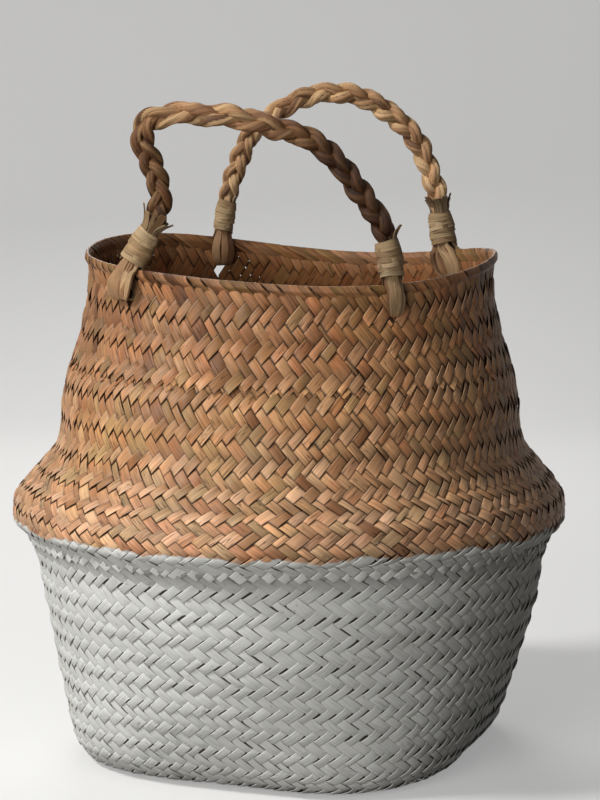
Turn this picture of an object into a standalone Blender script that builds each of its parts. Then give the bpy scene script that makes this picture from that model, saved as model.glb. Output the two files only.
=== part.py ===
"""A belly basket: a plaited leaf basket with a round belly, a waisted neck and two plaited handles.

Metres, +Z up. The origin is the middle of the base's underside. The front handle stands at -Y and the
back handle at +Y, and each spans the mouth along X. The neck pushes down into the bowl, and each handle
bends at the rim.
"""

import math

import bmesh
import bpy
import numpy as np
from mathutils import Matrix, Vector

# The body, from the floor up: heights add up, so each can change by itself
BASE_RADIUS = 0.1295
BASE_THICKNESS = 0.004
BOWL_HEIGHT = 0.1537
BOWL_TOP_RADIUS = 0.181
CREASE_RISE = 0.0218
CREASE_REACH = 0.009
FLARE_RISE = 0.0395
FLARE_WIDTH = 0.0287
NECK_RISE = 0.1235
RIM_RADIUS = 0.142
WALL = 0.004
CLEARANCE = 0.0003
CUT_OVERRUN = 0.006

# The base is a rounded square that turns round as the bowl rises
BASE_CORNER_SHARE = 0.08
BASE_CORNER_TURN = math.radians(37.4)
BASE_CORNER_FADE = 0.105
BASE_CORNERS = 4

# The mouth is narrower from front to back, and its edge waves: (waves round the rim, height, phase)
MOUTH_DEPTH_SHARE = 0.79
RIM_WAVES = ((1, 0.0085, math.radians(120)), (2, 0.0055, math.radians(-5)), (3, 0.003, math.radians(50)))
BORDER_HALF_WIDTH = 0.0045
BORDER_HALF_HEIGHT = 0.0055

# Outlines, each point as (share of the rise, share of the width that it spans)
BOWL_SHARES = ((0, 0), (0.035, 0.16), (0.085, 0.29), (0.155, 0.385), (0.24, 0.465), (0.33, 0.54),
               (0.42, 0.605), (0.55, 0.69), (0.735, 0.813), (0.9, 0.9), (1, 1))
CREASE_SHARES = ((0, 0), (0.1, 0.28), (0.25, 0.66), (0.42, 0.93), (0.7, 1.02), (1, 0.9))
FLARE_SHARES = ((0, 0), (0.18, 0.1), (0.41, 0.37), (0.65, 0.67), (0.88, 0.92), (1, 1))
NECK_SHARES = ((0, 0), (0.06, 0.11), (0.26, 0.23), (0.42, 0.5), (0.56, 0.79), (0.72, 1.03),
               (0.88, 1.14), (1, 1))

# The handles: each has a span between its two roots, a sideways shift and a rise above the rim's edge
FRONT_SPAN = 0.1748
FRONT_SHIFT = -0.0016
FRONT_RISE = 0.108
FRONT_LEAN = 0.006
FRONT_PLAITS = 5
BACK_SPAN = 0.168
BACK_SHIFT = 0.012
BACK_RISE = 0.1133
BACK_LEAN = 0.004
BACK_PLAITS = 5
# Route of each handle's middle line, as (share of the span, share of the rise)
FRONT_ROUTE_SHARES = ((0, 0), (0.008, 0.07), (0.037, 0.17), (0.071, 0.28), (0.098, 0.388), (0.105, 0.5),
                      (0.077, 0.637), (0.041, 0.76), (0.019, 0.854), (0.046, 0.943), (0.125, 0.985),
                      (0.248, 0.995), (0.397, 0.981), (0.509, 0.942), (0.658, 0.877), (0.773, 0.743),
                      (0.868, 0.565), (0.932, 0.439), (0.962, 0.34), (0.986, 0.18), (1, 0))
BACK_ROUTE_SHARES = ((0, 0), (0.012, 0.2), (0.03, 0.36), (0.055, 0.48), (0.096, 0.65), (0.149, 0.765),
                     (0.26, 0.892), (0.393, 0.981), (0.527, 1), (0.6375, 0.962), (0.748, 0.873),
                     (0.837, 0.75), (0.904, 0.575), (0.95, 0.386), (0.975, 0.2), (1, 0))

# The plait of three strands, and what holds its ends
STRAND_RADIUS = 0.0024
STRANDS = 3
PLAIT_HALF_WIDTH = 0.0053
PLAIT_HALF_DEPTH = 0.0042
PLAIT_OPENING = 0.009
TURN_DELAY_SHARE = 0.55
BINDING_BOTTOM = 0.0108
BINDING_TURNS = 6
BINDING_PITCH = 0.0042
TAPE_WIDTH = 0.0034
TAPE_THICKNESS = 0.0008
TAPE_CROWN = 0.0004
LOOP_LEG = 0.012
EYELET_DROP = 0.023
EYELET_RADIUS = 0.0041
LOOP_ROUND_SHARE = 0.33
TUFT_WIDTH = 0.009
TUFT_LENGTH = 0.013
TUFT_THICKNESS = 0.0009
TUFT_FINGERS = 3
TUFT_FOOT_SHARE = 0.6
TUFT_NOTCH_SHARE = 0.45
TUFT_POINT_SHARE = 0.3
TUFT_UNEVEN_SHARE = 0.12
TUFT_LEAN = math.radians(40)

# How finely the round shapes are faceted
ROUND_STEPS = 48
SECTION_SIDES = 8
PLAIT_STEPS = 11
TURN_STEPS = 16
ROUTE_STEPS = 240

# What follows from the sizes above
FLARE_FOOT_HEIGHT = BOWL_HEIGHT + CREASE_RISE
FLARE_FOOT_RADIUS = BOWL_TOP_RADIUS + CREASE_REACH * CREASE_SHARES[-1][1]
NECK_FOOT_HEIGHT = FLARE_FOOT_HEIGHT + FLARE_RISE
NECK_FOOT_RADIUS = FLARE_FOOT_RADIUS - FLARE_WIDTH
RIM_HEIGHT = NECK_FOOT_HEIGHT + NECK_RISE
BINDING_LENGTH = BINDING_TURNS * BINDING_PITCH + TAPE_WIDTH
BUNDLE_RADIUS = (2 * STRAND_RADIUS + CLEARANCE) / math.sqrt(STRANDS)
BINDING_BORE = BUNDLE_RADIUS + STRAND_RADIUS + CLEARANCE
LOOP_RADIUS = BINDING_BORE * math.cos(math.pi / TURN_STEPS) / 2 - CLEARANCE
ROUND_ANGLES = np.linspace(0, 2 * math.pi, ROUND_STEPS, endpoint=False)

NATURAL = (0.55, 0.36, 0.20, 1)
NATURAL_LIGHT = (0.62, 0.43, 0.25, 1)
PAINT = (0.55, 0.55, 0.52, 1)
HANDLE = (0.44, 0.28, 0.15, 1)
STRAW = (0.58, 0.45, 0.27, 1)
ROUGHNESS = 0.7
SHARP_ANGLE = math.radians(40)


def clear_scene():
    for item in list(bpy.data.objects):
        bpy.data.objects.remove(item)


def material(name, colour):
    made = bpy.data.materials.new(name)
    made.use_nodes = True
    shader = made.node_tree.nodes["Principled BSDF"]
    shader.inputs["Base Color"].default_value = colour
    shader.inputs["Roughness"].default_value = ROUGHNESS
    shader.inputs["Metallic"].default_value = 0
    return made


def place(name, mesh, colour, parent):
    """Links a mesh or curve whose points are in world space, under the empty that moves it."""
    item = bpy.data.objects.new(name, mesh)
    bpy.context.scene.collection.objects.link(item)
    mesh.materials.append(material(name, colour))
    if parent:
        item.parent = parent
        item.matrix_parent_inverse = parent.matrix_basis.inverted()
    return item


def solid(name, points, faces, colour, parent):
    """A closed mesh from points and faces, with its faces turned outwards."""
    mesh = bpy.data.meshes.new(name)
    mesh.from_pydata([tuple(p) for p in points], [], faces)
    shape = bmesh.new()
    shape.from_mesh(mesh)
    bmesh.ops.recalc_face_normals(shape, faces=shape.faces)
    shape.to_mesh(mesh)
    shape.free()
    mesh.shade_smooth()
    mesh.set_sharp_from_angle(angle=SHARP_ANGLE)
    return place(name, mesh, colour, parent)


def loft(name, rings, colour, parent=None, capped=False):
    """Joins closed rings of points in turn. The last ring meets the first, or flat caps close both ends."""
    sides = len(rings[0])
    points = np.concatenate(rings)
    faces = []
    for row in range(len(rings) - capped):
        here = row * sides
        there = (row + 1) % len(rings) * sides
        for k in range(sides):
            after = (k + 1) % sides
            faces.append((here + k, here + after, there + after, there + k))
    if capped:
        faces.append(tuple(range(sides)))
        faces.append(tuple(range(len(points) - sides, len(points))))
    return solid(name, points, faces, colour, parent)


def turned_outline(shares, foot_height, rise, foot_radius, width):
    """Heights and radii of an outline given in shares of its rise and of the width that it spans."""
    table = np.array(shares, float)
    return foot_height + rise * table[:, 0], foot_radius + width * table[:, 1]


def inner_radii(heights, radii):
    """Radii one wall thickness further in, measured square to the slope."""
    slope = np.gradient(radii, heights)
    return radii - WALL * np.sqrt(1 + slope**2)


def body_ring(radius, height):
    """A ring of the bowl: a rounded square on the floor, round higher up."""
    fade = max(0, 1 - height / BASE_CORNER_FADE) ** 2
    corners = np.cos(BASE_CORNERS * (ROUND_ANGLES - BASE_CORNER_TURN))
    radii = radius * (1 + BASE_CORNER_SHARE * fade * corners)
    level = np.full(ROUND_STEPS, height)
    return np.stack([radii * np.cos(ROUND_ANGLES), radii * np.sin(ROUND_ANGLES), level], 1)


def turned_shell(name, heights, radii, colour):
    """A wall that follows an outline: up its outer side and down its inner side."""
    inner = inner_radii(heights, radii)
    rings = [body_ring(r, z) for r, z in zip(radii, heights)]
    rings += [body_ring(r, z) for r, z in zip(inner[::-1], heights[::-1])]
    return loft(name, rings, colour)


def rim_height(angles):
    """Height of the rim's edge, which dips at the front and lifts at the back."""
    return RIM_HEIGHT + sum(size * np.cos(order * angles - phase) for order, size, phase in RIM_WAVES)


def mouth_depth(share):
    """Front-to-back share of the neck's width, from round at its foot to an oval at the rim."""
    return 1 + (MOUTH_DEPTH_SHARE - 1) * share**2 * (3 - 2 * share)


def neck_radius(share):
    table = np.array(NECK_SHARES, float)
    return NECK_FOOT_RADIUS + (RIM_RADIUS - NECK_FOOT_RADIUS) * np.interp(share, table[:, 0], table[:, 1])


def neck_points(angles, share, inset):
    """Points of the neck at a share of its rise, set in from its outer face."""
    radius = neck_radius(share) - inset
    foot = NECK_FOOT_HEIGHT
    return np.stack([radius * np.cos(angles), radius * mouth_depth(share) * np.sin(angles),
                     foot + share * (rim_height(angles) - foot)], -1)


def rim_normal(angles):
    """Outward horizontal direction of the oval at the rim."""
    raw = np.stack([np.cos(angles) * MOUTH_DEPTH_SHARE, np.sin(angles), np.zeros_like(angles)], -1)
    return raw / np.linalg.norm(raw, axis=-1, keepdims=True)


def wall_middle(angle, drop):
    """Point in the middle of the neck's wall, a given drop below the rim's edge."""
    rise = rim_height(angle) - NECK_FOOT_HEIGHT
    return neck_points(angle, 1 - drop / rise, WALL / 2)


def make_base():
    """The mat on the floor, let into the foot of the bowl."""
    edge = BASE_RADIUS - WALL
    rings = [body_ring(edge - CLEARANCE, z) for z in (0, BASE_THICKNESS)]
    return loft("base_mat", rings, PAINT, capped=True)


def make_bowl():
    """The bowl's foot has an upright inner face round the base mat, and its wall follows the outline."""
    heights, radii = turned_outline(BOWL_SHARES, 0, BOWL_HEIGHT, BASE_RADIUS, BOWL_TOP_RADIUS - BASE_RADIUS)
    inner = np.maximum(inner_radii(heights, radii), BASE_RADIUS - WALL)
    rings = [body_ring(r, z) for r, z in zip(radii, heights)]
    rings += [body_ring(r, z) for r, z in zip(inner[:0:-1], heights[:0:-1])]
    rings.append(body_ring(BASE_RADIUS - WALL, BASE_THICKNESS))
    rings.append(body_ring(BASE_RADIUS - WALL, 0))
    return loft("bowl_wall", rings, PAINT)


def make_crease():
    """The folded lip round the belly, the widest place."""
    heights, radii = turned_outline(CREASE_SHARES, BOWL_HEIGHT + CLEARANCE, CREASE_RISE - CLEARANCE,
                                    BOWL_TOP_RADIUS, CREASE_REACH)
    return turned_shell("belly_crease", heights, radii, NATURAL_LIGHT)


def make_flare():
    """The shoulder that snaps through when the neck is pushed down."""
    heights, radii = turned_outline(FLARE_SHARES, FLARE_FOOT_HEIGHT + CLEARANCE, FLARE_RISE - CLEARANCE,
                                    FLARE_FOOT_RADIUS, -FLARE_WIDTH)
    return turned_shell("flare", heights, radii, NATURAL)


def make_neck(parent):
    """The waisted wall, with four eyelets cut for the handles' root loops."""
    foot_share = CLEARANCE / NECK_RISE
    top_drop = 2 * BORDER_HALF_HEIGHT + CLEARANCE
    top_share = 1 - top_drop / NECK_RISE
    shares = [foot_share] + [s for s, _ in NECK_SHARES if foot_share < s < top_share] + [top_share]
    outer = [neck_points(ROUND_ANGLES, s, 0) for s in shares]
    outer[-1][:, 2] = rim_height(ROUND_ANGLES) - top_drop
    inner = [neck_points(ROUND_ANGLES, s, WALL) for s in shares]
    inner[-1][:, 2] = outer[-1][:, 2]
    return loft("neck_wall", outer + inner[::-1], NATURAL, parent)


def make_border(parent):
    """The folded selvedge: an oval bead along the waving edge."""
    middle = neck_points(ROUND_ANGLES, 1, WALL / 2)
    outward = rim_normal(ROUND_ANGLES)
    rings = []
    for turn in np.linspace(0, 2 * math.pi, SECTION_SIDES, endpoint=False):
        ring = middle + outward * BORDER_HALF_WIDTH * math.cos(turn)
        ring[:, 2] += BORDER_HALF_HEIGHT * (math.sin(turn) - 1)
        rings.append(ring)
    return loft("rim_border", rings, NATURAL_LIGHT, parent)


def smooth_route(points, count):
    """A Catmull-Rom curve through the points, read at even steps of its length, with its length."""
    padded = np.concatenate([[2 * points[0] - points[1]], points, [2 * points[-1] - points[-2]]])
    t = np.linspace(0, 1, ROUTE_STEPS // len(points) + 2, endpoint=False)[:, None]
    runs = []
    for a, b, c, d in zip(padded, padded[1:], padded[2:], padded[3:]):
        bend = 2 * a - 5 * b + 4 * c - d
        twist = 3 * b - a - 3 * c + d
        runs.append((2 * b + (c - a) * t + bend * t**2 + twist * t**3) / 2)
    dense = np.concatenate(runs + [points[-1:]])
    travelled = np.concatenate([[0], np.cumsum(np.linalg.norm(np.diff(dense, axis=0), axis=1))])
    even = np.linspace(0, travelled[-1], count)
    return np.stack([np.interp(even, travelled, dense[:, k]) for k in range(3)], 1), travelled[-1]


class Handle:
    """One handle: where its two roots stand on the rim, and its middle line with a frame along it."""

    def __init__(self, name, side, span, shift, rise, lean, plaits, shares):
        self.name = name
        self.plaits = plaits
        half_mouth = RIM_RADIUS - WALL / 2
        self.root_angles = [side * math.acos((shift + half * span / 2) / half_mouth) for half in (-1, 1)]
        roots = [wall_middle(a, 0) - np.array([0, 0, BORDER_HALF_HEIGHT]) for a in self.root_angles]
        self.pivot = roots[0]
        along = roots[1] - roots[0]
        reach = np.linalg.norm(along)
        self.axis = along / reach
        up = np.array([0, 0, 1]) - self.axis[2] * self.axis
        up /= np.linalg.norm(up)
        self.depth = np.cross(up, self.axis)
        route = np.array([self.pivot + self.axis * reach * u + up * rise * v - self.depth * side * lean * v**2
                          for u, v in shares])
        self.line, self.length = smooth_route(route, ROUTE_STEPS)
        self.steps = np.linspace(0, self.length, ROUTE_STEPS)

    def at(self, distance):
        """Middle point, and the unit vectors along, across and through the handle, at distances along it."""
        distance = np.atleast_1d(distance)
        small = self.length / ROUTE_STEPS

        def read(where):
            return np.stack([np.interp(where, self.steps, self.line[:, k]) for k in range(3)], 1)

        low = np.clip(distance - small, 0, self.length)
        high = np.clip(distance + small, 0, self.length)
        tangent = read(high) - read(low)
        tangent /= np.linalg.norm(tangent, axis=1, keepdims=True)
        through = self.depth - tangent * (tangent @ self.depth)[:, None]
        through /= np.linalg.norm(through, axis=1, keepdims=True)
        return read(distance), tangent, np.cross(tangent, through), through


def tube(name, points, radius, colour, parent):
    """A round tube along points, as a curve with a bevel and filled ends."""
    curve = bpy.data.curves.new(name, "CURVE")
    curve.dimensions = "3D"
    curve.bevel_depth = radius
    curve.bevel_resolution = 1
    curve.use_fill_caps = True
    spline = curve.splines.new("POLY")
    spline.points.add(len(points) - 1)
    for place_in_curve, point in zip(spline.points, points):
        place_in_curve.co = (*point, 1)
    spline.use_smooth = True
    return place(name, curve, colour, parent)


def plait_lines(handle):
    """Middle lines of the three strands: bundled in each binding, plaited between them.

    Across the handle a strand goes as a sine, and through it as a sine of twice the pace, a third of a
    turn behind the strand before. At the ends the three stand in a triangle and touch.
    """
    start = BINDING_BOTTOM + LOOP_LEG + CLEARANCE
    bound = BINDING_BOTTOM + BINDING_LENGTH
    free = handle.length - 2 * bound
    count = handle.plaits * PLAIT_STEPS
    inside = np.array([start, (start + bound) / 2])
    between = np.linspace(bound, bound + free, count + 1)
    distance = np.concatenate([inside, between, handle.length - inside[::-1]])
    fine = np.linspace(0, handle.length, ROUTE_STEPS)
    from_binding = np.minimum(fine - bound, handle.length - bound - fine) / PLAIT_OPENING
    ramp = np.clip(from_binding, 0, 1)
    late = np.clip(from_binding - TURN_DELAY_SHARE, 0, 1)
    opened_fine = ramp**2 * (3 - 2 * ramp)
    turned_fine = np.cumsum(late**2 * (3 - 2 * late))
    opened = np.interp(distance, fine, opened_fine)
    turned = np.interp(distance, fine, turned_fine) / turned_fine[-1]
    centre, _, across, through = handle.at(distance)
    width = BUNDLE_RADIUS + (PLAIT_HALF_WIDTH - BUNDLE_RADIUS) * opened
    depth = BUNDLE_RADIUS + (PLAIT_HALF_DEPTH - BUNDLE_RADIUS) * opened
    lines = []
    for strand in range(STRANDS):
        phase = math.pi / 2 + 2 * math.pi * (handle.plaits * turned + strand / STRANDS)
        sideways = across * (width * np.sin(phase))[:, None]
        inwards = through * (depth * np.sin(2 * phase))[:, None]
        lines.append(centre + sideways + inwards)
    return lines


def least_gap(one, other, thickness):
    """Least distance between two lines, read on points between their own, less one thickness."""
    fine = np.arange(0, len(one) - 1, 0.25)
    steps = np.arange(len(one))

    def read(line):
        return np.stack([np.interp(fine, steps, line[:, k]) for k in range(3)], 1)

    return np.linalg.norm(read(one)[:, None] - read(other)[None], axis=2).min() - thickness


def make_strands(handle, parent):
    lines = plait_lines(handle)
    for number, line in enumerate(lines, 1):
        tube(f"{handle.name}_strand_{number}", line, STRAND_RADIUS, HANDLE, parent)
    gap = min(least_gap(lines[a], lines[b], 2 * STRAND_RADIUS) for a, b in ((0, 1), (1, 2), (2, 0)))
    print(f"{handle.name}: plait {handle.length:.4f} m long, least gap between strands {gap:.5f} m")


def make_binding(handle, end, parent):
    """Flat tape wound round the bundle as one helix, with a low crown along its outer face."""
    count = BINDING_TURNS * TURN_STEPS + 1
    turn = np.linspace(0, 2 * math.pi * BINDING_TURNS, count)
    distance = BINDING_BOTTOM + TAPE_WIDTH / 2 + BINDING_PITCH * turn / (2 * math.pi)
    if end:
        distance = handle.length - distance
    centre, along, across, through = handle.at(distance)
    outward = across * np.cos(turn)[:, None] + through * np.sin(turn)[:, None]
    half = TAPE_WIDTH / 2
    outer = BINDING_BORE + TAPE_THICKNESS
    section = ((-half, BINDING_BORE), (half, BINDING_BORE), (half, outer),
               (0, outer + TAPE_CROWN), (-half, outer))
    corners = np.stack([centre + along * side + outward * radius for side, radius in section], 1)
    name = f"{handle.name}_{('left', 'right')[end]}_binding"
    loft(name, list(corners), STRAW, parent, capped=True)
    skip = TURN_STEPS // 2
    flat = corners.reshape(-1, 3)
    row = np.repeat(np.arange(count), len(section))
    apart = np.abs(row[:, None] - row[None]) > skip
    gap = np.linalg.norm(flat[:, None] - flat[None], axis=2)[apart].min()
    print(f"{name}: {BINDING_TURNS} turns, least gap to itself {gap:.5f} m")


def make_root_loop(handle, end, parent):
    """A strand that goes through the eyelet and stands astride the rim, with both legs in the binding."""
    angle = np.array(handle.root_angles[end])
    outward = rim_normal(angle)
    distance = np.array([BINDING_BOTTOM + LOOP_LEG, BINDING_BOTTOM + LOOP_LEG / 2, BINDING_BOTTOM])
    if end:
        distance = handle.length - distance
    centre, along, _, _ = handle.at(distance)
    square = outward - along * (along @ outward)[:, None]
    square /= np.linalg.norm(square, axis=1, keepdims=True)
    apart = LOOP_RADIUS + CLEARANCE
    astride = BORDER_HALF_WIDTH + LOOP_RADIUS + CLEARANCE
    turn_radius = (EYELET_DROP - 2 * BORDER_HALF_HEIGHT) / 2
    bottom = wall_middle(angle, EYELET_DROP)
    edge = wall_middle(angle, 0)
    drops = (BORDER_HALF_HEIGHT / 2, BORDER_HALF_HEIGHT, 2 * BORDER_HALF_HEIGHT)
    legs = []
    for side in (1, -1):
        leg = list(centre + square * side * apart)
        leg += [edge + outward * side * astride - np.array([0, 0, drop]) for drop in drops]
        foot_rise = np.array([0, 0, turn_radius * LOOP_ROUND_SHARE])
        leg.append(bottom + outward * side * (turn_radius - CLEARANCE) + foot_rise)
        legs.append(leg)
    route = np.array(legs[0] + [bottom] + legs[1][::-1])
    line, _ = smooth_route(route, 2 * TURN_STEPS)
    name = f"{handle.name}_{('left', 'right')[end]}_root"
    tube(name, line, LOOP_RADIUS, HANDLE, parent)


def make_tuft(handle, end, parent):
    """Cut leaf ends that stand out above the binding, a fan of pointed fingers."""
    distance = BINDING_BOTTOM + BINDING_LENGTH + CLEARANCE
    centre, along, across, through = (v[0] for v in handle.at(handle.length - distance if end else distance))
    up = -along if end else along
    side = across if across @ handle.axis * (1, -1)[end] < 0 else -across
    lift = math.cos(TUFT_LEAN) * up + math.sin(TUFT_LEAN) * side
    thick = math.cos(TUFT_LEAN) * side - math.sin(TUFT_LEAN) * up
    start = centre + side * (BINDING_BORE + TUFT_THICKNESS) + up * TUFT_THICKNESS * math.sin(TUFT_LEAN)
    outline = [(-0.5, 0), (0.5, 0)]
    for finger in range(TUFT_FINGERS, 0, -1):
        right = finger / TUFT_FINGERS - 0.5
        outline.append((right - TUFT_POINT_SHARE / TUFT_FINGERS, 1 - TUFT_UNEVEN_SHARE * (finger % 2)))
        if finger > 1:
            outline.append((right - 1 / TUFT_FINGERS, 1 - TUFT_NOTCH_SHARE))
    flat = []
    for u, v in outline:
        width = TUFT_WIDTH * (TUFT_FOOT_SHARE + (1 - TUFT_FOOT_SHARE) * v)
        flat.append(start + through * width * u + lift * TUFT_LENGTH * v)
    rings = [np.array(flat), np.array(flat) + thick * TUFT_THICKNESS]
    loft(f"{handle.name}_{('left', 'right')[end]}_tuft", rings, STRAW, parent, capped=True)


def cut_eyelet(wall, angle, name):
    """Cuts one round eyelet through the neck's wall, square to it."""
    outward = rim_normal(angle)
    cutter_mesh = bpy.data.meshes.new(name)
    shape = bmesh.new()
    bmesh.ops.create_cone(shape, cap_ends=True, segments=SECTION_SIDES + 4, radius1=EYELET_RADIUS,
                          radius2=EYELET_RADIUS, depth=WALL + 2 * CUT_OVERRUN)
    turn = Vector(outward).to_track_quat("Z", "Y").to_matrix().to_4x4()
    shape.transform(Matrix.Translation(wall_middle(angle, EYELET_DROP)) @ turn)
    shape.to_mesh(cutter_mesh)
    shape.free()
    cutter = bpy.data.objects.new(name, cutter_mesh)
    bpy.context.scene.collection.objects.link(cutter)
    cutter.hide_render = True
    cutter.display_type = "WIRE"
    cut = wall.modifiers.new(name, "BOOLEAN")
    cut.operation = "DIFFERENCE"
    cut.object = cutter


def empty_at(name, place_at, parent=None):
    item = bpy.data.objects.new(name, None)
    item.location = place_at
    bpy.context.scene.collection.objects.link(item)
    if parent:
        item.parent = parent
        item.matrix_parent_inverse = parent.matrix_basis.inverted()
    return item


def main():
    clear_scene()
    make_base()
    make_bowl()
    make_crease()
    make_flare()
    neck_axis = empty_at("neck_drop_axis", (0, 0, FLARE_FOOT_HEIGHT))
    wall = make_neck(neck_axis)
    make_border(neck_axis)
    handles = (
        Handle("front", -1, FRONT_SPAN, FRONT_SHIFT, FRONT_RISE, FRONT_LEAN, FRONT_PLAITS,
               FRONT_ROUTE_SHARES),
        Handle("back", 1, BACK_SPAN, BACK_SHIFT, BACK_RISE, BACK_LEAN, BACK_PLAITS, BACK_ROUTE_SHARES),
    )
    for handle in handles:
        pivot = empty_at(f"{handle.name}_handle_axis", handle.pivot, neck_axis)
        make_strands(handle, pivot)
        for end in (0, 1):
            make_binding(handle, end, pivot)
            make_tuft(handle, end, pivot)
            make_root_loop(handle, end, neck_axis)
            cut_eyelet(wall, np.array(handle.root_angles[end]), f"{handle.name}_eyelet_cutter_{end}")
        print(f"{handle.name} handle: hinge at {np.round(handle.pivot, 5)}, axis {np.round(handle.axis, 5)}")
    print(f"neck drop: {2 * FLARE_RISE:.4f} m, the flare turned inside out about {FLARE_FOOT_HEIGHT:.4f} m")


main()
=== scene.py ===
# %% [markdown]
# # A plaited belly basket, dressed round its frame
# The imported model says where every part is and how it moves. This lesson builds what the eye sees round
# it: leaf strips that really cross over and under each other, a folded rim, plaited handles and their
# straw bindings. Every piece is a surface worked out with numpy. Most ride on a body of the frame; the
# weave above the lip and the fans below the bindings stay at rest.

# %% Load the frame
import math

import bpy
import numpy as np
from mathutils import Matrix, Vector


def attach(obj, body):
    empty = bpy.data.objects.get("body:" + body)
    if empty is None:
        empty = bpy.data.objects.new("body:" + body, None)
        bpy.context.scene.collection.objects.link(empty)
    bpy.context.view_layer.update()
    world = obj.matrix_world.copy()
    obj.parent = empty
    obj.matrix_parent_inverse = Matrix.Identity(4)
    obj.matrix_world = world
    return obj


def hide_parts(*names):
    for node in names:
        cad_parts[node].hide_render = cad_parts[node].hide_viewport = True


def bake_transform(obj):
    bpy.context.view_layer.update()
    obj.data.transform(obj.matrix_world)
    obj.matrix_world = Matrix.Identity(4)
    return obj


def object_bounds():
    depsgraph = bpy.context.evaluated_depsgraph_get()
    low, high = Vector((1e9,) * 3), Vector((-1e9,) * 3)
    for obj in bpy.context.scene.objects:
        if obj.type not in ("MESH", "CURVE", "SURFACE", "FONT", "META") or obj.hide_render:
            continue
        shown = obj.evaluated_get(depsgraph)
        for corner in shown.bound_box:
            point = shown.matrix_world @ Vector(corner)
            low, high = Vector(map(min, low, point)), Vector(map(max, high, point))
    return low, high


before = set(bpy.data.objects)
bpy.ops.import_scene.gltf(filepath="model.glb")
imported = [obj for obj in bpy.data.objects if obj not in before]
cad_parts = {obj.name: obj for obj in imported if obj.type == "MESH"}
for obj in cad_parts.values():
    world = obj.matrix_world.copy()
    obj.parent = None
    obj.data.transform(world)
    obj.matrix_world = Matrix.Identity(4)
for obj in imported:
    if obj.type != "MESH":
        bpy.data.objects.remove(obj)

model_box = [list(corner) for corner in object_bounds()]
print("the model's box:", [[round(v, 4) for v in corner] for corner in model_box])

# %% [markdown]
# ## Camera
# The picture was taken from in front, a little to the right of the front handle and slightly from above,
# with a long lens. The focal length is given in pixels of a picture 800 high, and Blender's sensor of
# 36 mm lies along that longer side.

# %% Camera at the photograph's angle
PICTURE_HEIGHT = 800
FOCAL_PIXELS = 2132
SENSOR = 36
VIEW_TURN = math.radians(12)
VIEW_DIP = math.radians(7)
VIEW_DISTANCE = 1.46
VIEW_HEIGHT = 0.419
VIEW_ASIDE = 0.0068

view_forward = np.array([-math.sin(VIEW_TURN), math.cos(VIEW_TURN), 0])
view_right = np.array([math.cos(VIEW_TURN), math.sin(VIEW_TURN), 0])
view_up = np.array([0, 0, 1])
camera = bpy.data.objects.new("camera", bpy.data.cameras.new("camera"))
camera.data.lens = SENSOR * FOCAL_PIXELS / PICTURE_HEIGHT
camera.location = VIEW_ASIDE * view_right - VIEW_DISTANCE * view_forward + VIEW_HEIGHT * view_up
camera.rotation_euler = (math.pi / 2 - VIEW_DIP, 0, VIEW_TURN)
bpy.context.scene.collection.objects.link(camera)
bpy.context.scene.camera = camera
bpy.context.scene.view_settings.view_transform = "Standard"
print(f"lens {camera.data.lens:.1f} mm")

# %% [markdown]
# ## Shader sums
# A finish is mostly arithmetic on patterns. Wrapping a socket in a small class lets that arithmetic be
# written as Python sums: each operator adds one Math node. Everything else goes through one method, which
# sets a node's own settings first and then its sockets.


# %% A socket that can be used in sums
class Value:
    """One output socket. An operator on it adds a Math node to the same finish."""

    def __init__(self, finish, socket):
        self.finish = finish
        self.socket = socket

    def sum_with(self, operation, first, second):
        return self.finish.node("ShaderNodeMath", {"operation": operation}, {0: first, 1: second})

    def __add__(self, other):
        return self.sum_with("ADD", self, other)

    def __sub__(self, other):
        return self.sum_with("SUBTRACT", self, other)

    def __rsub__(self, other):
        return self.sum_with("SUBTRACT", other, self)

    def __mul__(self, other):
        return self.sum_with("MULTIPLY", self, other)

    __radd__ = __add__
    __rmul__ = __mul__


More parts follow.
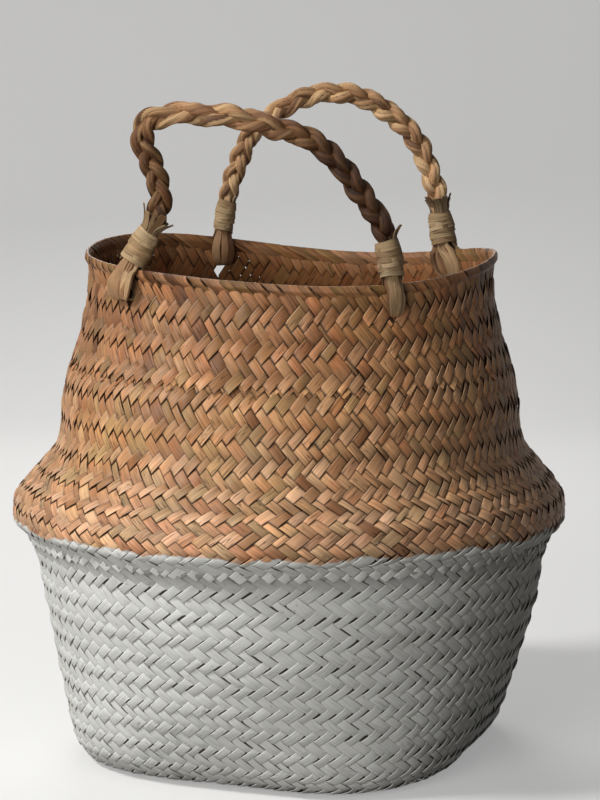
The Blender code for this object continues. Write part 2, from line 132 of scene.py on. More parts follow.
class Finish:
    """A material whose nodes are added by one method."""

    def __init__(self, name):
        self.material = bpy.data.materials.new(name)
        self.material.use_nodes = True
        self.tree = self.material.node_tree
        self.shader = self.tree.nodes["Principled BSDF"]

    def node(self, kind, settings=None, inputs=None, output=0):
        """Adds a node of a kind, sets it, fills or links its sockets and returns one of its outputs."""
        made = self.tree.nodes.new(kind)
        for key, value in (settings or {}).items():
            if key == "stops":
                while len(made.color_ramp.elements) < len(value):
                    made.color_ramp.elements.new(0.5)
                for element, (position, colour) in zip(made.color_ramp.elements, value):
                    element.position = position
                    element.color = (*colour, 1)
            else:
                setattr(made, key, value)
        for key, value in (inputs or {}).items():
            self.fill(made.inputs[key], value)
        return Value(self, made.outputs[output])

    def fill(self, socket, value):
        if isinstance(value, Value):
            self.tree.links.new(value.socket, socket)
        else:
            socket.default_value = value

    def attribute(self, name, output="Vector"):
        return self.node("ShaderNodeAttribute", {"attribute_name": name}, output=output)

    def place(self):
        """Where the surface is at rest, in metres: a pattern on it stays put when a joint moves."""
        return self.attribute("spot")

    def part(self, vector, axis):
        return self.node("ShaderNodeSeparateXYZ", inputs={0: vector}, output=axis)

    def stretch(self, vector, factors):
        return self.node("ShaderNodeVectorMath", {"operation": "MULTIPLY"}, {0: vector, 1: factors})

    def noise(self, vector, scale, detail=2.0, rough=0.5):
        """Soft random pattern from 0 to 1, about a half on average."""
        return self.node("ShaderNodeTexNoise", inputs={"Vector": vector, "Scale": scale, "Detail": detail,
                                                       "Roughness": rough})

    def ramp(self, value, low, high):
        """0 below low, 1 above high and an even S between them. High may lie below low."""
        return self.node("ShaderNodeMapRange", {"interpolation_type": "SMOOTHSTEP"},
                         {"Value": value, "From Min": low, "From Max": high})

    def mix(self, share, one, other, blend="MIX"):
        """Colour one where share is 0 and the other where it is 1."""
        return self.node("ShaderNodeMix", {"data_type": "RGBA", "blend_type": blend},
                         {0: share, 6: one, 7: other}, output=2)

    def bump(self, height, distance, strength=1.0):
        return self.node("ShaderNodeBump", inputs={"Height": height, "Distance": distance,
                                                   "Strength": strength})

    def set(self, **sockets):
        """Fills the shader's sockets, named with underscores for spaces."""
        for name, value in sockets.items():
            self.fill(self.shader.inputs[name.replace("_", " ")], value)
        return self.material


def linear(red, green, blue):
    """A colour as seen on a screen, 0 to 255, in the linear values that a shader takes."""
    share = np.array([red, green, blue], float) / 255
    return tuple(np.where(share <= 0.04045, share / 12.92, ((share + 0.055) / 1.055) ** 2.4))


# %% [markdown]
# ## Floor and light
# The floor and the backdrop are one swept sheet, so that no line shows behind the basket. The key light
# stands to the upper left, as in the picture: it draws a bright edge on each leaf and leaves the right
# side in shade, and the leaf finish adds painted highlights and painted shade of the same kind. A broad
# low lamp beside it reaches under the belly, a third stands behind, above the picture, so that the back
# isn't black when the basket is turned, and the sky is a plain pale fill.

# %% Swept floor, lamps and sky
FLOOR_HALF_WIDTH = 3.0
FLOOR_FRONT = -2.5
FLOOR_BACK = 1.6
SWEEP_RADIUS = 0.9
BACKDROP_HEIGHT = 3.2
SWEEP_STEPS = 24
FLOOR_COLOUR = linear(196, 195, 192)
FLOOR_GLOW = 0.3
FLOOR_BOUNCE = linear(70, 67, 62)
KEY_SIZE = 0.38
KEY_WATTS = 46
KEY_PLACE = (-1.38, -1.0, 1.87)
LOW_SIZE = 1.1
LOW_WATTS = 26
LOW_PLACE = (-0.5, -1.85, 0.5)
BACK_SIZE = 0.9
BACK_WATTS = 13
BACK_PLACE = (-0.55, 1.5, 1.3)
SKY_FILL = 0.014
SKY_SEEN = linear(236, 236, 235)


def swept_sheet():
    """Flat floor, a quarter circle, then an upright wall: a profile in Y and Z drawn along X."""
    turn = np.linspace(0, math.pi / 2, SWEEP_STEPS)
    y = np.concatenate([[FLOOR_FRONT], FLOOR_BACK + SWEEP_RADIUS * np.sin(turn), [FLOOR_BACK + SWEEP_RADIUS]])
    z = np.concatenate([[0], SWEEP_RADIUS * (1 - np.cos(turn)), [BACKDROP_HEIGHT]])
    left = np.stack([np.full_like(y, -FLOOR_HALF_WIDTH), y, z], 1)
    right = left * (-1, 1, 1)
    points = np.concatenate([left, right])
    count = len(y)
    faces = [(k, k + count, k + count + 1, k + 1) for k in range(count - 1)]
    mesh = bpy.data.meshes.new("studio_floor")
    mesh.from_pydata(points.tolist(), [], faces)
    mesh.shade_smooth()
    return mesh


def lamp(name, watts, size, place_at):
    """A square soft light that faces the middle of the basket."""
    light = bpy.data.lights.new(name, "AREA")
    light.energy = watts
    light.size = size
    holder = bpy.data.objects.new(name, light)
    bpy.context.scene.collection.objects.link(holder)
    centre = (np.array(model_box[0]) + np.array(model_box[1])) / 2
    away = np.array(place_at) - centre
    holder.location = place_at
    holder.rotation_euler = (math.atan2(np.hypot(away[0], away[1]), away[2]), 0,
                             math.atan2(away[1], away[0]) + math.pi / 2)
    return holder


floor_finish = Finish("studio_paper")
seen = floor_finish.node("ShaderNodeLightPath", output="Is Camera Ray")
seen = seen + floor_finish.node("ShaderNodeLightPath", output="Is Glossy Ray")
paper = floor_finish.mix(seen, (*FLOOR_BOUNCE, 1), (*FLOOR_COLOUR, 1))
glow = floor_finish.mix(seen, (0, 0, 0, 1), (FLOOR_GLOW, FLOOR_GLOW, FLOOR_GLOW, 1))
floor_finish.set(Base_Color=paper, Emission_Color=glow, Emission_Strength=1, Roughness=0.9)
floor = bpy.data.objects.new("studio_floor", swept_sheet())
floor.data.materials.append(floor_finish.material)
floor.rotation_euler = (0, 0, VIEW_TURN)
bpy.context.scene.collection.objects.link(floor)
lamp("key", KEY_WATTS, KEY_SIZE, KEY_PLACE)
lamp("low", LOW_WATTS, LOW_SIZE, LOW_PLACE)
lamp("back", BACK_WATTS, BACK_SIZE, BACK_PLACE)

world = bpy.data.worlds.new("sky")
world.use_nodes = True
bpy.context.scene.world = world
sky = world.node_tree
fill_light = sky.nodes["Background"]
fill_light.inputs["Strength"].default_value = SKY_FILL
fill_light.inputs["Color"].default_value = (1, 1, 1, 1)
seen_light = sky.nodes.new("ShaderNodeBackground")
seen_light.inputs["Color"].default_value = (*SKY_SEEN, 1)
ray = sky.nodes.new("ShaderNodeLightPath")
either = sky.nodes.new("ShaderNodeMath")
either.operation = "MAXIMUM"
sky.links.new(ray.outputs["Is Camera Ray"], either.inputs[0])
sky.links.new(ray.outputs["Is Glossy Ray"], either.inputs[1])
blend_light = sky.nodes.new("ShaderNodeMixShader")
sky.links.new(either.outputs[0], blend_light.inputs[0])
sky.links.new(fill_light.outputs[0], blend_light.inputs[1])
sky.links.new(seen_light.outputs[0], blend_light.inputs[2])
sky.links.new(blend_light.outputs[0], sky.nodes["World Output"].inputs["Surface"])

# %% [markdown]
# ## Colours of the leaf
# Dried leaf is never one brown. Strips come from different plants and ages: hay, tan, pinkish, rust,
# olive, a few nearly black. Each strip draws its colour from a short palette, and it keeps that colour
# along its whole length, which is why the same tint comes up again and again along a diagonal.

# %% Palettes, and how a strip draws its colour
SLACK_PALETTE = (
    (0.4, linear(190, 152, 118)), (0.25, linear(204, 166, 133)), (0.15, linear(180, 150, 113)),
    (0.14, linear(187, 145, 110)), (0.06, linear(156, 118, 86)))
TIGHT_PALETTE = (
    (0.38, linear(189, 149, 112)), (0.2, linear(186, 142, 107)), (0.2, linear(202, 165, 128)),
    (0.12, linear(178, 147, 110)), (0.07, linear(170, 126, 94)), (0.03, linear(140, 104, 76)))
HANDLE_PALETTE = (
    (0.4, linear(166, 128, 92)), (0.2, linear(186, 152, 112)), (0.25, linear(140, 102, 72)),
    (0.15, linear(108, 78, 56)))
STRAW_PALETTE = ((0.5, linear(178, 150, 112)), (0.3, linear(194, 166, 128)), (0.2, linear(160, 130, 94)))


def draw_colours(palette, shape, rng, spread=0.1):
    """Random colours from a palette of (share, colour), each a little lighter or darker than its entry."""
    shares = np.array([share for share, _ in palette])
    colours = np.array([colour for _, colour in palette])
    chosen = colours[rng.choice(len(palette), size=shape, p=shares / shares.sum())]
    return chosen * (1 + spread * rng.uniform(-1, 1, (*np.shape(chosen)[:-1], 1)))


# %% [markdown]
# ## Meshes from whole arrays
# Every ribbon is a short closed section of six points carried along a line. All ribbons of one piece sit
# in one array of shape (ribbon, step, section point, 3), so the faces are index sums on whole arrays. A
# mask says which steps exist: where a run of steps begins or ends, the section is closed with a cap.

# %% Closed ribbons as one mesh
SHARP = math.radians(38)


def ribbon_faces(present, sides):
    """Quads between neighbouring present steps, and one cap at each end of a run of present steps."""
    ribbons, steps = present.shape
    index = np.arange(ribbons * steps).reshape(ribbons, steps) * sides
    joined = present[:, :-1] & present[:, 1:]
    here = index[:, :-1][joined][:, None]
    there = index[:, 1:][joined][:, None]
    k = np.arange(sides)
    after = (k + 1) % sides
    quads = np.stack([here + k, here + after, there + after, there + k], -1).reshape(-1, 4)
    linked_before = np.zeros_like(present)
    linked_before[:, 1:] = joined
    linked_after = np.zeros_like(present)
    linked_after[:, :-1] = joined
    first = index[linked_after & ~linked_before][:, None] + k[::-1]
    last = index[linked_before & ~linked_after][:, None] + k
    return quads, np.concatenate([first, last])


def array_mesh(name, points, quads, caps, **attributes):
    """A mesh from arrays. Unused points are dropped, and faces are turned outwards if they point in."""
    sides = caps.shape[1] if len(caps) else 0
    corners = np.concatenate([quads.ravel(), caps.ravel()]).astype(np.int64)
    used, corners = np.unique(corners, return_inverse=True)
    points = points.reshape(-1, 3)[used]
    quads = corners[: quads.size].reshape(-1, 4)
    caps = corners[quads.size:].reshape(-1, sides) if sides else np.zeros((0, 3), int)
    a, b, c, d = (points[quads[:, k]] for k in range(4))
    volume = (np.cross(b, c) * a).sum() + (np.cross(c, d) * a).sum()
    for k in range(1, sides - 1):
        volume += (np.cross(points[caps[:, k]], points[caps[:, k + 1]]) * points[caps[:, 0]]).sum()
    if volume < 0:
        quads = quads[:, ::-1]
        caps = caps[:, ::-1]
    mesh = bpy.data.meshes.new(name)
    mesh.vertices.add(len(points))
    mesh.vertices.foreach_set("co", points.astype(np.float32).ravel())
    loops = np.concatenate([quads.ravel(), caps.ravel()]).astype(np.int32)
    starts = np.concatenate([np.arange(len(quads)) * 4, quads.size + np.arange(len(caps)) * sides])
    mesh.loops.add(len(loops))
    mesh.loops.foreach_set("vertex_index", loops)
    mesh.polygons.add(len(starts))
    mesh.polygons.foreach_set("loop_start", starts.astype(np.int32))
    mesh.update(calc_edges=True)
    rest = mesh.attributes.new("spot", "FLOAT_VECTOR", "POINT")
    rest.data.foreach_set("vector", points.astype(np.float32).ravel())
    for key, values in attributes.items():
        flat = values.reshape(-1, values.shape[-1])[used]
        if key == "dye":
            flat = np.concatenate([flat, np.ones((len(flat), 1))], 1)
            made = mesh.attributes.new(key, "FLOAT_COLOR", "POINT")
            made.data.foreach_set("color", flat.astype(np.float32).ravel())
        else:
            made = mesh.attributes.new(key, "FLOAT_VECTOR", "POINT")
            made.data.foreach_set("vector", flat.astype(np.float32).ravel())
    mesh.shade_smooth()
    mesh.set_sharp_from_angle(angle=SHARP)
    return mesh


def piece(name, mesh, finish):
    """Links a finished mesh as a piece of the basket, with its finish."""
    made = bpy.data.objects.new(name, mesh)
    bpy.context.scene.collection.objects.link(made)
    mesh.materials.append(finish)
    return made


# %% [markdown]
# ## The wall as a function
# The body is turned: a smooth outline of radius against height, carried round. Three things keep it from
# being a lathe's work: the foot is a rounded square, the mouth is narrower from front to back and its edge
# rises and dips, and soft dents lie all over it. One function of two parameters holds all of that: the
# angle round the basket, and the distance along the outline.

# %% Sizes of the body, as in the model
BASE_RADIUS = 0.1295
BOWL_HEIGHT = 0.1537
BOWL_TOP_RADIUS = 0.181
CREASE_RISE = 0.0218
CREASE_REACH = 0.009
FLARE_RISE = 0.0395
FLARE_WIDTH = 0.0287
NECK_RISE = 0.1235
RIM_RADIUS = 0.142
WALL = 0.004
BASE_CORNER_SHARE = 0.08
BASE_CORNER_TURN = math.radians(37.4)
BASE_CORNER_FADE = 0.105
MOUTH_DEPTH_SHARE = 0.79
RIM_WAVES = ((1, 0.0085, math.radians(120)), (2, 0.0055, math.radians(-5)), (3, 0.003, math.radians(50)))
BORDER_HALF_WIDTH = 0.0045
BORDER_HALF_HEIGHT = 0.0055
BOWL_SHARES = ((0.035, 0.16), (0.085, 0.29), (0.155, 0.385), (0.24, 0.465), (0.33, 0.54), (0.42, 0.605),
               (0.55, 0.69), (0.735, 0.813), (0.9, 0.9))
CREASE_SHARES = ((0.1, 0.28), (0.25, 0.66), (0.42, 0.93), (0.7, 1.02), (1, 0.9))
FLARE_SHARES = ((0.18, 0.1), (0.41, 0.37), (0.65, 0.67), (0.88, 0.92), (1, 1))
NECK_SHARES = ((0.06, 0.11), (0.26, 0.23), (0.42, 0.5), (0.56, 0.79), (0.72, 1.03), (0.88, 1.14), (1, 1))
FLARE_FOOT_HEIGHT = BOWL_HEIGHT + CREASE_RISE
FLARE_FOOT_RADIUS = BOWL_TOP_RADIUS + CREASE_REACH * CREASE_SHARES[-1][1]
NECK_FOOT_HEIGHT = FLARE_FOOT_HEIGHT + FLARE_RISE
NECK_FOOT_RADIUS = FLARE_FOOT_RADIUS - FLARE_WIDTH
RIM_HEIGHT = NECK_FOOT_HEIGHT + NECK_RISE

# How far the middle of the weave lies inside the model's outer face, how deep the dents are, and how far
# strips dive and rise where new ones are laid in
WEAVE_INSET = 0.0014
DENT_DEPTH = 0.0009
SEAM_DIVE = 0.0013
SEAM_LIFT = 0.0004


def smooth_line(points, count):
    """A Catmull-Rom curve through the points, read at even steps of its length."""
    points = np.asarray(points, float)
    padded = np.concatenate([[2 * points[0] - points[1]], points, [2 * points[-1] - points[-2]]])
    t = np.linspace(0, 1, 24, endpoint=False)[:, None]
    a, b, c, d = (padded[k: k + len(points) - 1, None] for k in range(4))
    dense = (2 * b + (c - a) * t + (2 * a - 5 * b + 4 * c - d) * t**2 + (3 * b - a - 3 * c + d) * t**3) / 2
    dense = np.concatenate([dense.reshape(-1, points.shape[1]), points[-1:]])
    travelled = np.concatenate([[0], np.cumsum(np.linalg.norm(np.diff(dense, axis=0), axis=1))])
    even = np.linspace(0, travelled[-1], count)
    return np.stack([np.interp(even, travelled, dense[:, k]) for k in range(points.shape[1])], 1), even


def shared_outline(shares, foot, rise, radius, width):
    """Points (radius, height) of an outline in shares of its rise and of the width that it spans."""
    return [(radius + width * across, foot + rise * up) for up, across in shares]


def rim_height(angles):
    return RIM_HEIGHT + sum(size * np.cos(order * angles - phase) for order, size, phase in RIM_WAVES)


def dents(angles, heights):
    """Three crossing sets of long waves, together from about -1 to 1."""
    return (np.sin(3 * angles + 55 * heights + 0.6) + np.sin(5 * angles - 70 * heights + 2.1)
            + 0.7 * np.sin(8 * angles + 40 * heights + 4.0)) / 2.7


class Wall:
    """A wall from an outline of (radius, height) points, which turns round the basket's axis."""

    def __init__(self, outline):
        table, self.along = smooth_line(outline, 600)
        self.radius, self.height = table.T
        self.length = self.along[-1]

    def surface(self, angles, along):
        """The outer face: radius and mean height are read from the outline, then squared and waved."""
        radius = np.interp(along, self.along, self.radius)
        height = np.interp(along, self.along, self.height)
        share = np.clip((height - NECK_FOOT_HEIGHT) / NECK_RISE, 0, 1)
        depth = 1 + (MOUTH_DEPTH_SHARE - 1) * share**2 * (3 - 2 * share)
        fade = np.clip(1 - height / BASE_CORNER_FADE, 0, 1) ** 2
        radius = radius * (1 + BASE_CORNER_SHARE * fade * np.cos(4 * (angles - BASE_CORNER_TURN)))
        height = height + share * (rim_height(angles) - RIM_HEIGHT)
        return np.stack([radius * np.cos(angles), radius * depth * np.sin(angles), height], -1)

    def spot(self, angles, along):
        """A point in the middle of the weave and the outward unit vector there, from small differences."""
        step = 0.0004
        turn = step / self.radius.mean()
        here = self.surface(angles, along)
        around = self.surface(angles + turn, along) - self.surface(angles - turn, along)
        upward = self.surface(angles, along + step) - self.surface(angles, along - step)
        outward = np.cross(around, upward)
        outward /= np.linalg.norm(outward, axis=-1, keepdims=True)
        sink = DENT_DEPTH * dents(angles, here[..., 2]) - WEAVE_INSET
        return here + outward * sink[..., None], outward


lower_outline = [(BASE_RADIUS - 0.012, 0.0042), (BASE_RADIUS - 0.006, 0.0032), (BASE_RADIUS, 0.0019)]
lower_outline += [(BASE_RADIUS + 0.0045, 0.0027)]
lower_outline += shared_outline(BOWL_SHARES, 0, BOWL_HEIGHT, BASE_RADIUS, BOWL_TOP_RADIUS - BASE_RADIUS)
lower_outline += [(BOWL_TOP_RADIUS - 0.0004, BOWL_HEIGHT - 0.003), (BOWL_TOP_RADIUS - 0.0016, BOWL_HEIGHT + 0.003)]
lower_outline += [(BOWL_TOP_RADIUS - 0.003, BOWL_HEIGHT + 0.009)]
upper_outline = [(BOWL_TOP_RADIUS - 0.0014, BOWL_HEIGHT - 0.006), (BOWL_TOP_RADIUS + 0.0006, BOWL_HEIGHT + 0.0005)]
upper_outline += shared_outline(CREASE_SHARES, BOWL_HEIGHT, CREASE_RISE, BOWL_TOP_RADIUS, CREASE_REACH)
upper_outline += shared_outline(FLARE_SHARES, FLARE_FOOT_HEIGHT, FLARE_RISE, FLARE_FOOT_RADIUS, -FLARE_WIDTH)
upper_outline += shared_outline(NECK_SHARES, NECK_FOOT_HEIGHT, NECK_RISE, NECK_FOOT_RADIUS,
                                RIM_RADIUS - NECK_FOOT_RADIUS)
lower_wall = Wall(lower_outline)
upper_wall = Wall(upper_outline)
print(f"outlines: bowl {lower_wall.length:.3f} m, lip to rim {upper_wall.length:.3f} m")

# %% [markdown]
# ## Middle line of a handle
# Each handle starts at one eyelet's place on the rim, rises, bends and comes down to the other. The route
# is the model's own: shares of the span and of the rise, joined by a smooth curve. A frame goes with it:
# along the handle, across it, and through it.

# %% The two handles' lines
FRONT_ROUTE_SHARES = ((0, 0), (0.008, 0.07), (0.037, 0.17), (0.071, 0.28), (0.098, 0.388), (0.105, 0.5),
                      (0.077, 0.637), (0.041, 0.76), (0.019, 0.854), (0.046, 0.943), (0.125, 0.985),
                      (0.248, 0.995), (0.397, 0.981), (0.509, 0.942), (0.658, 0.877), (0.773, 0.743),
                      (0.868, 0.565), (0.932, 0.439), (0.962, 0.34), (0.986, 0.18), (1, 0))
BACK_ROUTE_SHARES = ((0, 0), (0.012, 0.2), (0.03, 0.36), (0.055, 0.48), (0.096, 0.65), (0.149, 0.765),
                     (0.26, 0.892), (0.393, 0.981), (0.527, 1), (0.6375, 0.962), (0.748, 0.873),
                     (0.837, 0.75), (0.904, 0.575), (0.95, 0.386), (0.975, 0.2), (1, 0))
PLAITS = 5


def unit(vectors):
    return vectors / np.linalg.norm(vectors, axis=-1, keepdims=True)


def square_to(vectors, directions):
    """Vectors with their share along some unit directions taken out, at unit length."""
    return unit(vectors - directions * (vectors * directions).sum(-1, keepdims=True))


def rim_middle(angle, drop):
    """A point in the middle of the wall at a drop below the rim, and outward and sideways directions."""
    radius = RIM_RADIUS - WALL / 2
    spot = np.array([radius * math.cos(angle), radius * MOUTH_DEPTH_SHARE * math.sin(angle),
                     rim_height(angle) - drop])
    outward = unit(np.array([MOUTH_DEPTH_SHARE * math.cos(angle), math.sin(angle), 0]))
    return spot, outward, np.cross([0, 0, 1], outward)


class Handle:
    """A handle's middle line, with a frame at any distance along it."""

    def __init__(self, name, side, span, shift, rise, lean, shares, tone_and_shade, speed):
        self.name = name
        self.tone_and_shade = tone_and_shade
        self.speed = speed
        half_mouth = RIM_RADIUS - WALL / 2
        self.angles = [side * math.acos((shift + half * span / 2) / half_mouth) for half in (-1, 1)]
        roots = [rim_middle(angle, BORDER_HALF_HEIGHT)[0] for angle in self.angles]
        reach = np.linalg.norm(roots[1] - roots[0])
        axis = (roots[1] - roots[0]) / reach
        up = square_to(np.array([0, 0, 1.0]), axis)
        self.depth = np.cross(up, axis)
        route = [roots[0] + axis * reach * u + up * rise * v - self.depth * side * lean * v**2
                 for u, v in shares]
        self.line, self.steps = smooth_line(route, 240)
        self.length = self.steps[-1]

    def read(self, where):
        return np.stack([np.interp(where, self.steps, self.line[:, k]) for k in range(3)], -1)

    def at(self, distance):
        """Middle point and the unit vectors along, across and through the handle."""
        small = 0.0015
        along = unit(self.read(np.minimum(distance + small, self.length))
                     - self.read(np.maximum(distance - small, 0)))
        through = square_to(np.broadcast_to(self.depth, along.shape), along)
        return self.read(distance), along, np.cross(along, through), through


# Multipliers of a handle's dye along its length: partly the leaf's own tone, partly painted shade and light; the
# front handle's right riser is deepest in painted shade.
FRONT_TONE_AND_SHADE = ((0, 0.55), (0.12, 0.34), (0.26, 0.32), (0.33, 0.7), (0.42, 1.0), (0.52, 0.8), (0.6, 0.42),
               (0.7, 0.14), (0.9, 0.11), (1, 0.3))
BACK_TONE_AND_SHADE = ((0, 1.2), (0.25, 0.9), (0.6, 0.85), (0.8, 1.1), (1, 1.2))
FRONT_SPEEDS = ((0, 1.1), (0.25, 1.2), (0.36, 0.62), (0.5, 0.62), (0.6, 0.95), (1, 1.15))
BACK_SPEEDS = ((0, 1.1), (0.3, 1), (0.5, 0.8), (0.7, 1), (1, 1.1))
front_handle = Handle("front", -1, 0.1748, -0.0016, 0.108, 0.006, FRONT_ROUTE_SHARES, FRONT_TONE_AND_SHADE, FRONT_SPEEDS)
back_handle = Handle("back", 1, 0.168, 0.012, 0.1133, 0.004, BACK_ROUTE_SHARES, BACK_TONE_AND_SHADE, BACK_SPEEDS)
EYELET_DROP = 0.0195
EYELET_RADIUS = 0.0036
eyelets = [(rim_middle(angle, EYELET_DROP)[0], EYELET_RADIUS)
           for handle in (front_handle, back_handle) for angle in handle.angles]
print("handles:", [round(float(h.length), 4) for h in (front_handle, back_handle)], "m along the middle")

# %% [markdown]
# ## The twill
# Two sets of strips climb the wall, one to the right and one to the left, and each passes over two and
# under two. Give a strip that leans right the number i and one that leans left the number j. Their
# crossing lies at the place (i + j) / 2 round the wall and at the level j - i, and the right-leaning
# strip is on top where j - i, counted in fours, is 0 or 1. That one rule makes the rows of slanted tiles
# that the photograph shows, and it closes round the basket for any number of strips.
#
# The strips keep their width while the wall gets wider or narrower, so they lie flat at the belly and
# steep at the neck: the sine of their angle is their total width over the girth. A level's height
# follows from that angle.

# %% Levels of crossings along a wall


class Lattice:
    """Where crossings lie on a wall: count strips each way, their edges a little uneven.

    Widths are (radius, strip width) pairs: towards the foot the strips are pulled narrower.
    """

    def __init__(self, wall, count, widths, unevenness, seed):
        self.wall = wall
        self.count = count
        rng = np.random.default_rng(seed)
        self.edge_shift = rng.normal(0, unevenness, (2, count)).clip(-0.3, 0.3)
        half_pace = math.pi * wall.radius / count
        sine = np.clip(np.interp(wall.radius, *zip(*widths)) / (2 * half_pace), 0.3, 0.9)
        pace = half_pace * sine / np.sqrt(1 - sine**2)
        step = wall.along[1] - wall.along[0]
        self.levels = np.concatenate([[0], np.cumsum(step / pace[1:])])
        self.top = self.levels[-1]

    def edge(self, way, number):
        """Place of the edge before a strip of one way, read between edges in straight lines."""
        low = np.floor(number).astype(int)
        share = number - low
        shift = self.edge_shift[way]
        return number + shift[low % self.count] * (1 - share) + shift[(low + 1) % self.count] * share

    def spot(self, p, q):
        """Point and outward vector at place p among right-leaning strips and q among left-leaning ones."""
        along = np.interp(q - p, self.levels, self.wall.along)
        return self.wall.spot((p + q) * math.pi / self.count, along)


BOWL_STRIPS = 99
BOWL_STRIP_WIDTHS = ((0.138, 0.00568), (0.175, 0.00668))
SHOULDER_STRIPS = 119
NECK_STRIPS = 106
UPPER_STRIP_WIDTHS = ((0.142, 0.0064), (0.156, 0.0066), (0.162, 0.00645), (0.175, 0.00614), (0.188, 0.00597))
NECK_STRIP_WIDTHS = ((0.142, 0.00673), (0.16, 0.007))
SEAM_HEIGHT = 0.267
bowl_lattice = Lattice(lower_wall, BOWL_STRIPS, BOWL_STRIP_WIDTHS, 0.1, 11)
shoulder_lattice = Lattice(upper_wall, SHOULDER_STRIPS, UPPER_STRIP_WIDTHS, 0.16, 12)
neck_lattice = Lattice(upper_wall, NECK_STRIPS, NECK_STRIP_WIDTHS, 0.17, 13)
seam_along = np.interp(SEAM_HEIGHT, upper_wall.height, upper_wall.along)
shoulder_top = np.interp(seam_along, upper_wall.along, shoulder_lattice.levels)
neck_foot = np.interp(seam_along, upper_wall.along, neck_lattice.levels)
print(f"levels: bowl {bowl_lattice.top:.1f}, shoulder {shoulder_top:.1f}, neck {neck_lattice.top - neck_foot:.1f}")

# %% [markdown]
# ## One strip
# A strip arches over its float, dives at the ends and hollows below. The shape along it is
# (1 - x^3.2)^0.8, where x runs from the middle of a float to its end, and it changes sign under the next
# two strips. Across, it has a low crown. Steps are placed closer together where it dives, so 36
# triangles are enough for each crossing.

# %% Strips of one direction as ribbons
LEAF_THICKNESS = 0.00042
STEP_OFFSETS = np.array([-1, -0.82, -0.5, 0, 0.5, 0.82])
SECTION_ACROSS = np.array([-0.5, -0.42, 0.42, 0.5, 0.5, -0.5])
SECTION_UP = np.array([0.5, 0.5, 0.5, 0.5, -0.5, -0.5])
SECTION_CROWN = np.array([0, 1, 1, 0, 0, 0])
# Painted light on the long edges of a float, per section point: 1 is a painted highlight, -1 a painted shadow.
EDGE_HIGHLIGHT_AND_SHADE = np.array([[1, 0, 0, -1, -1, 1], [-0.7, 0, 0, -0.7, -0.7, -0.7]])


def float_shape(offset):
    return (1 - np.abs(offset) ** 3.2) ** 0.8


class Look:
    """How one set of strips lies, in metres off the middle of the wall.

    over and under are the heights of a float's top and of its dip, slant raises the edge on the lower
    numbers' side, crown is the bulge across, tilt and uneven are the spread from float to float. Fade
    is a painted shade in the dye: it darkens a float towards its right-hand end as seen from the front,
    away from the key light.
    """

    def __init__(self, over, under, slant, crown, tilt, uneven, width, seed, palette=TIGHT_PALETTE, fade=0.0):
        self.over = over
        self.under = under
        self.slant = slant
        self.crown = crown
        self.tilt = tilt
        self.uneven = uneven
        self.width = width
        self.seed = seed
        self.palette = palette
        self.fade = fade


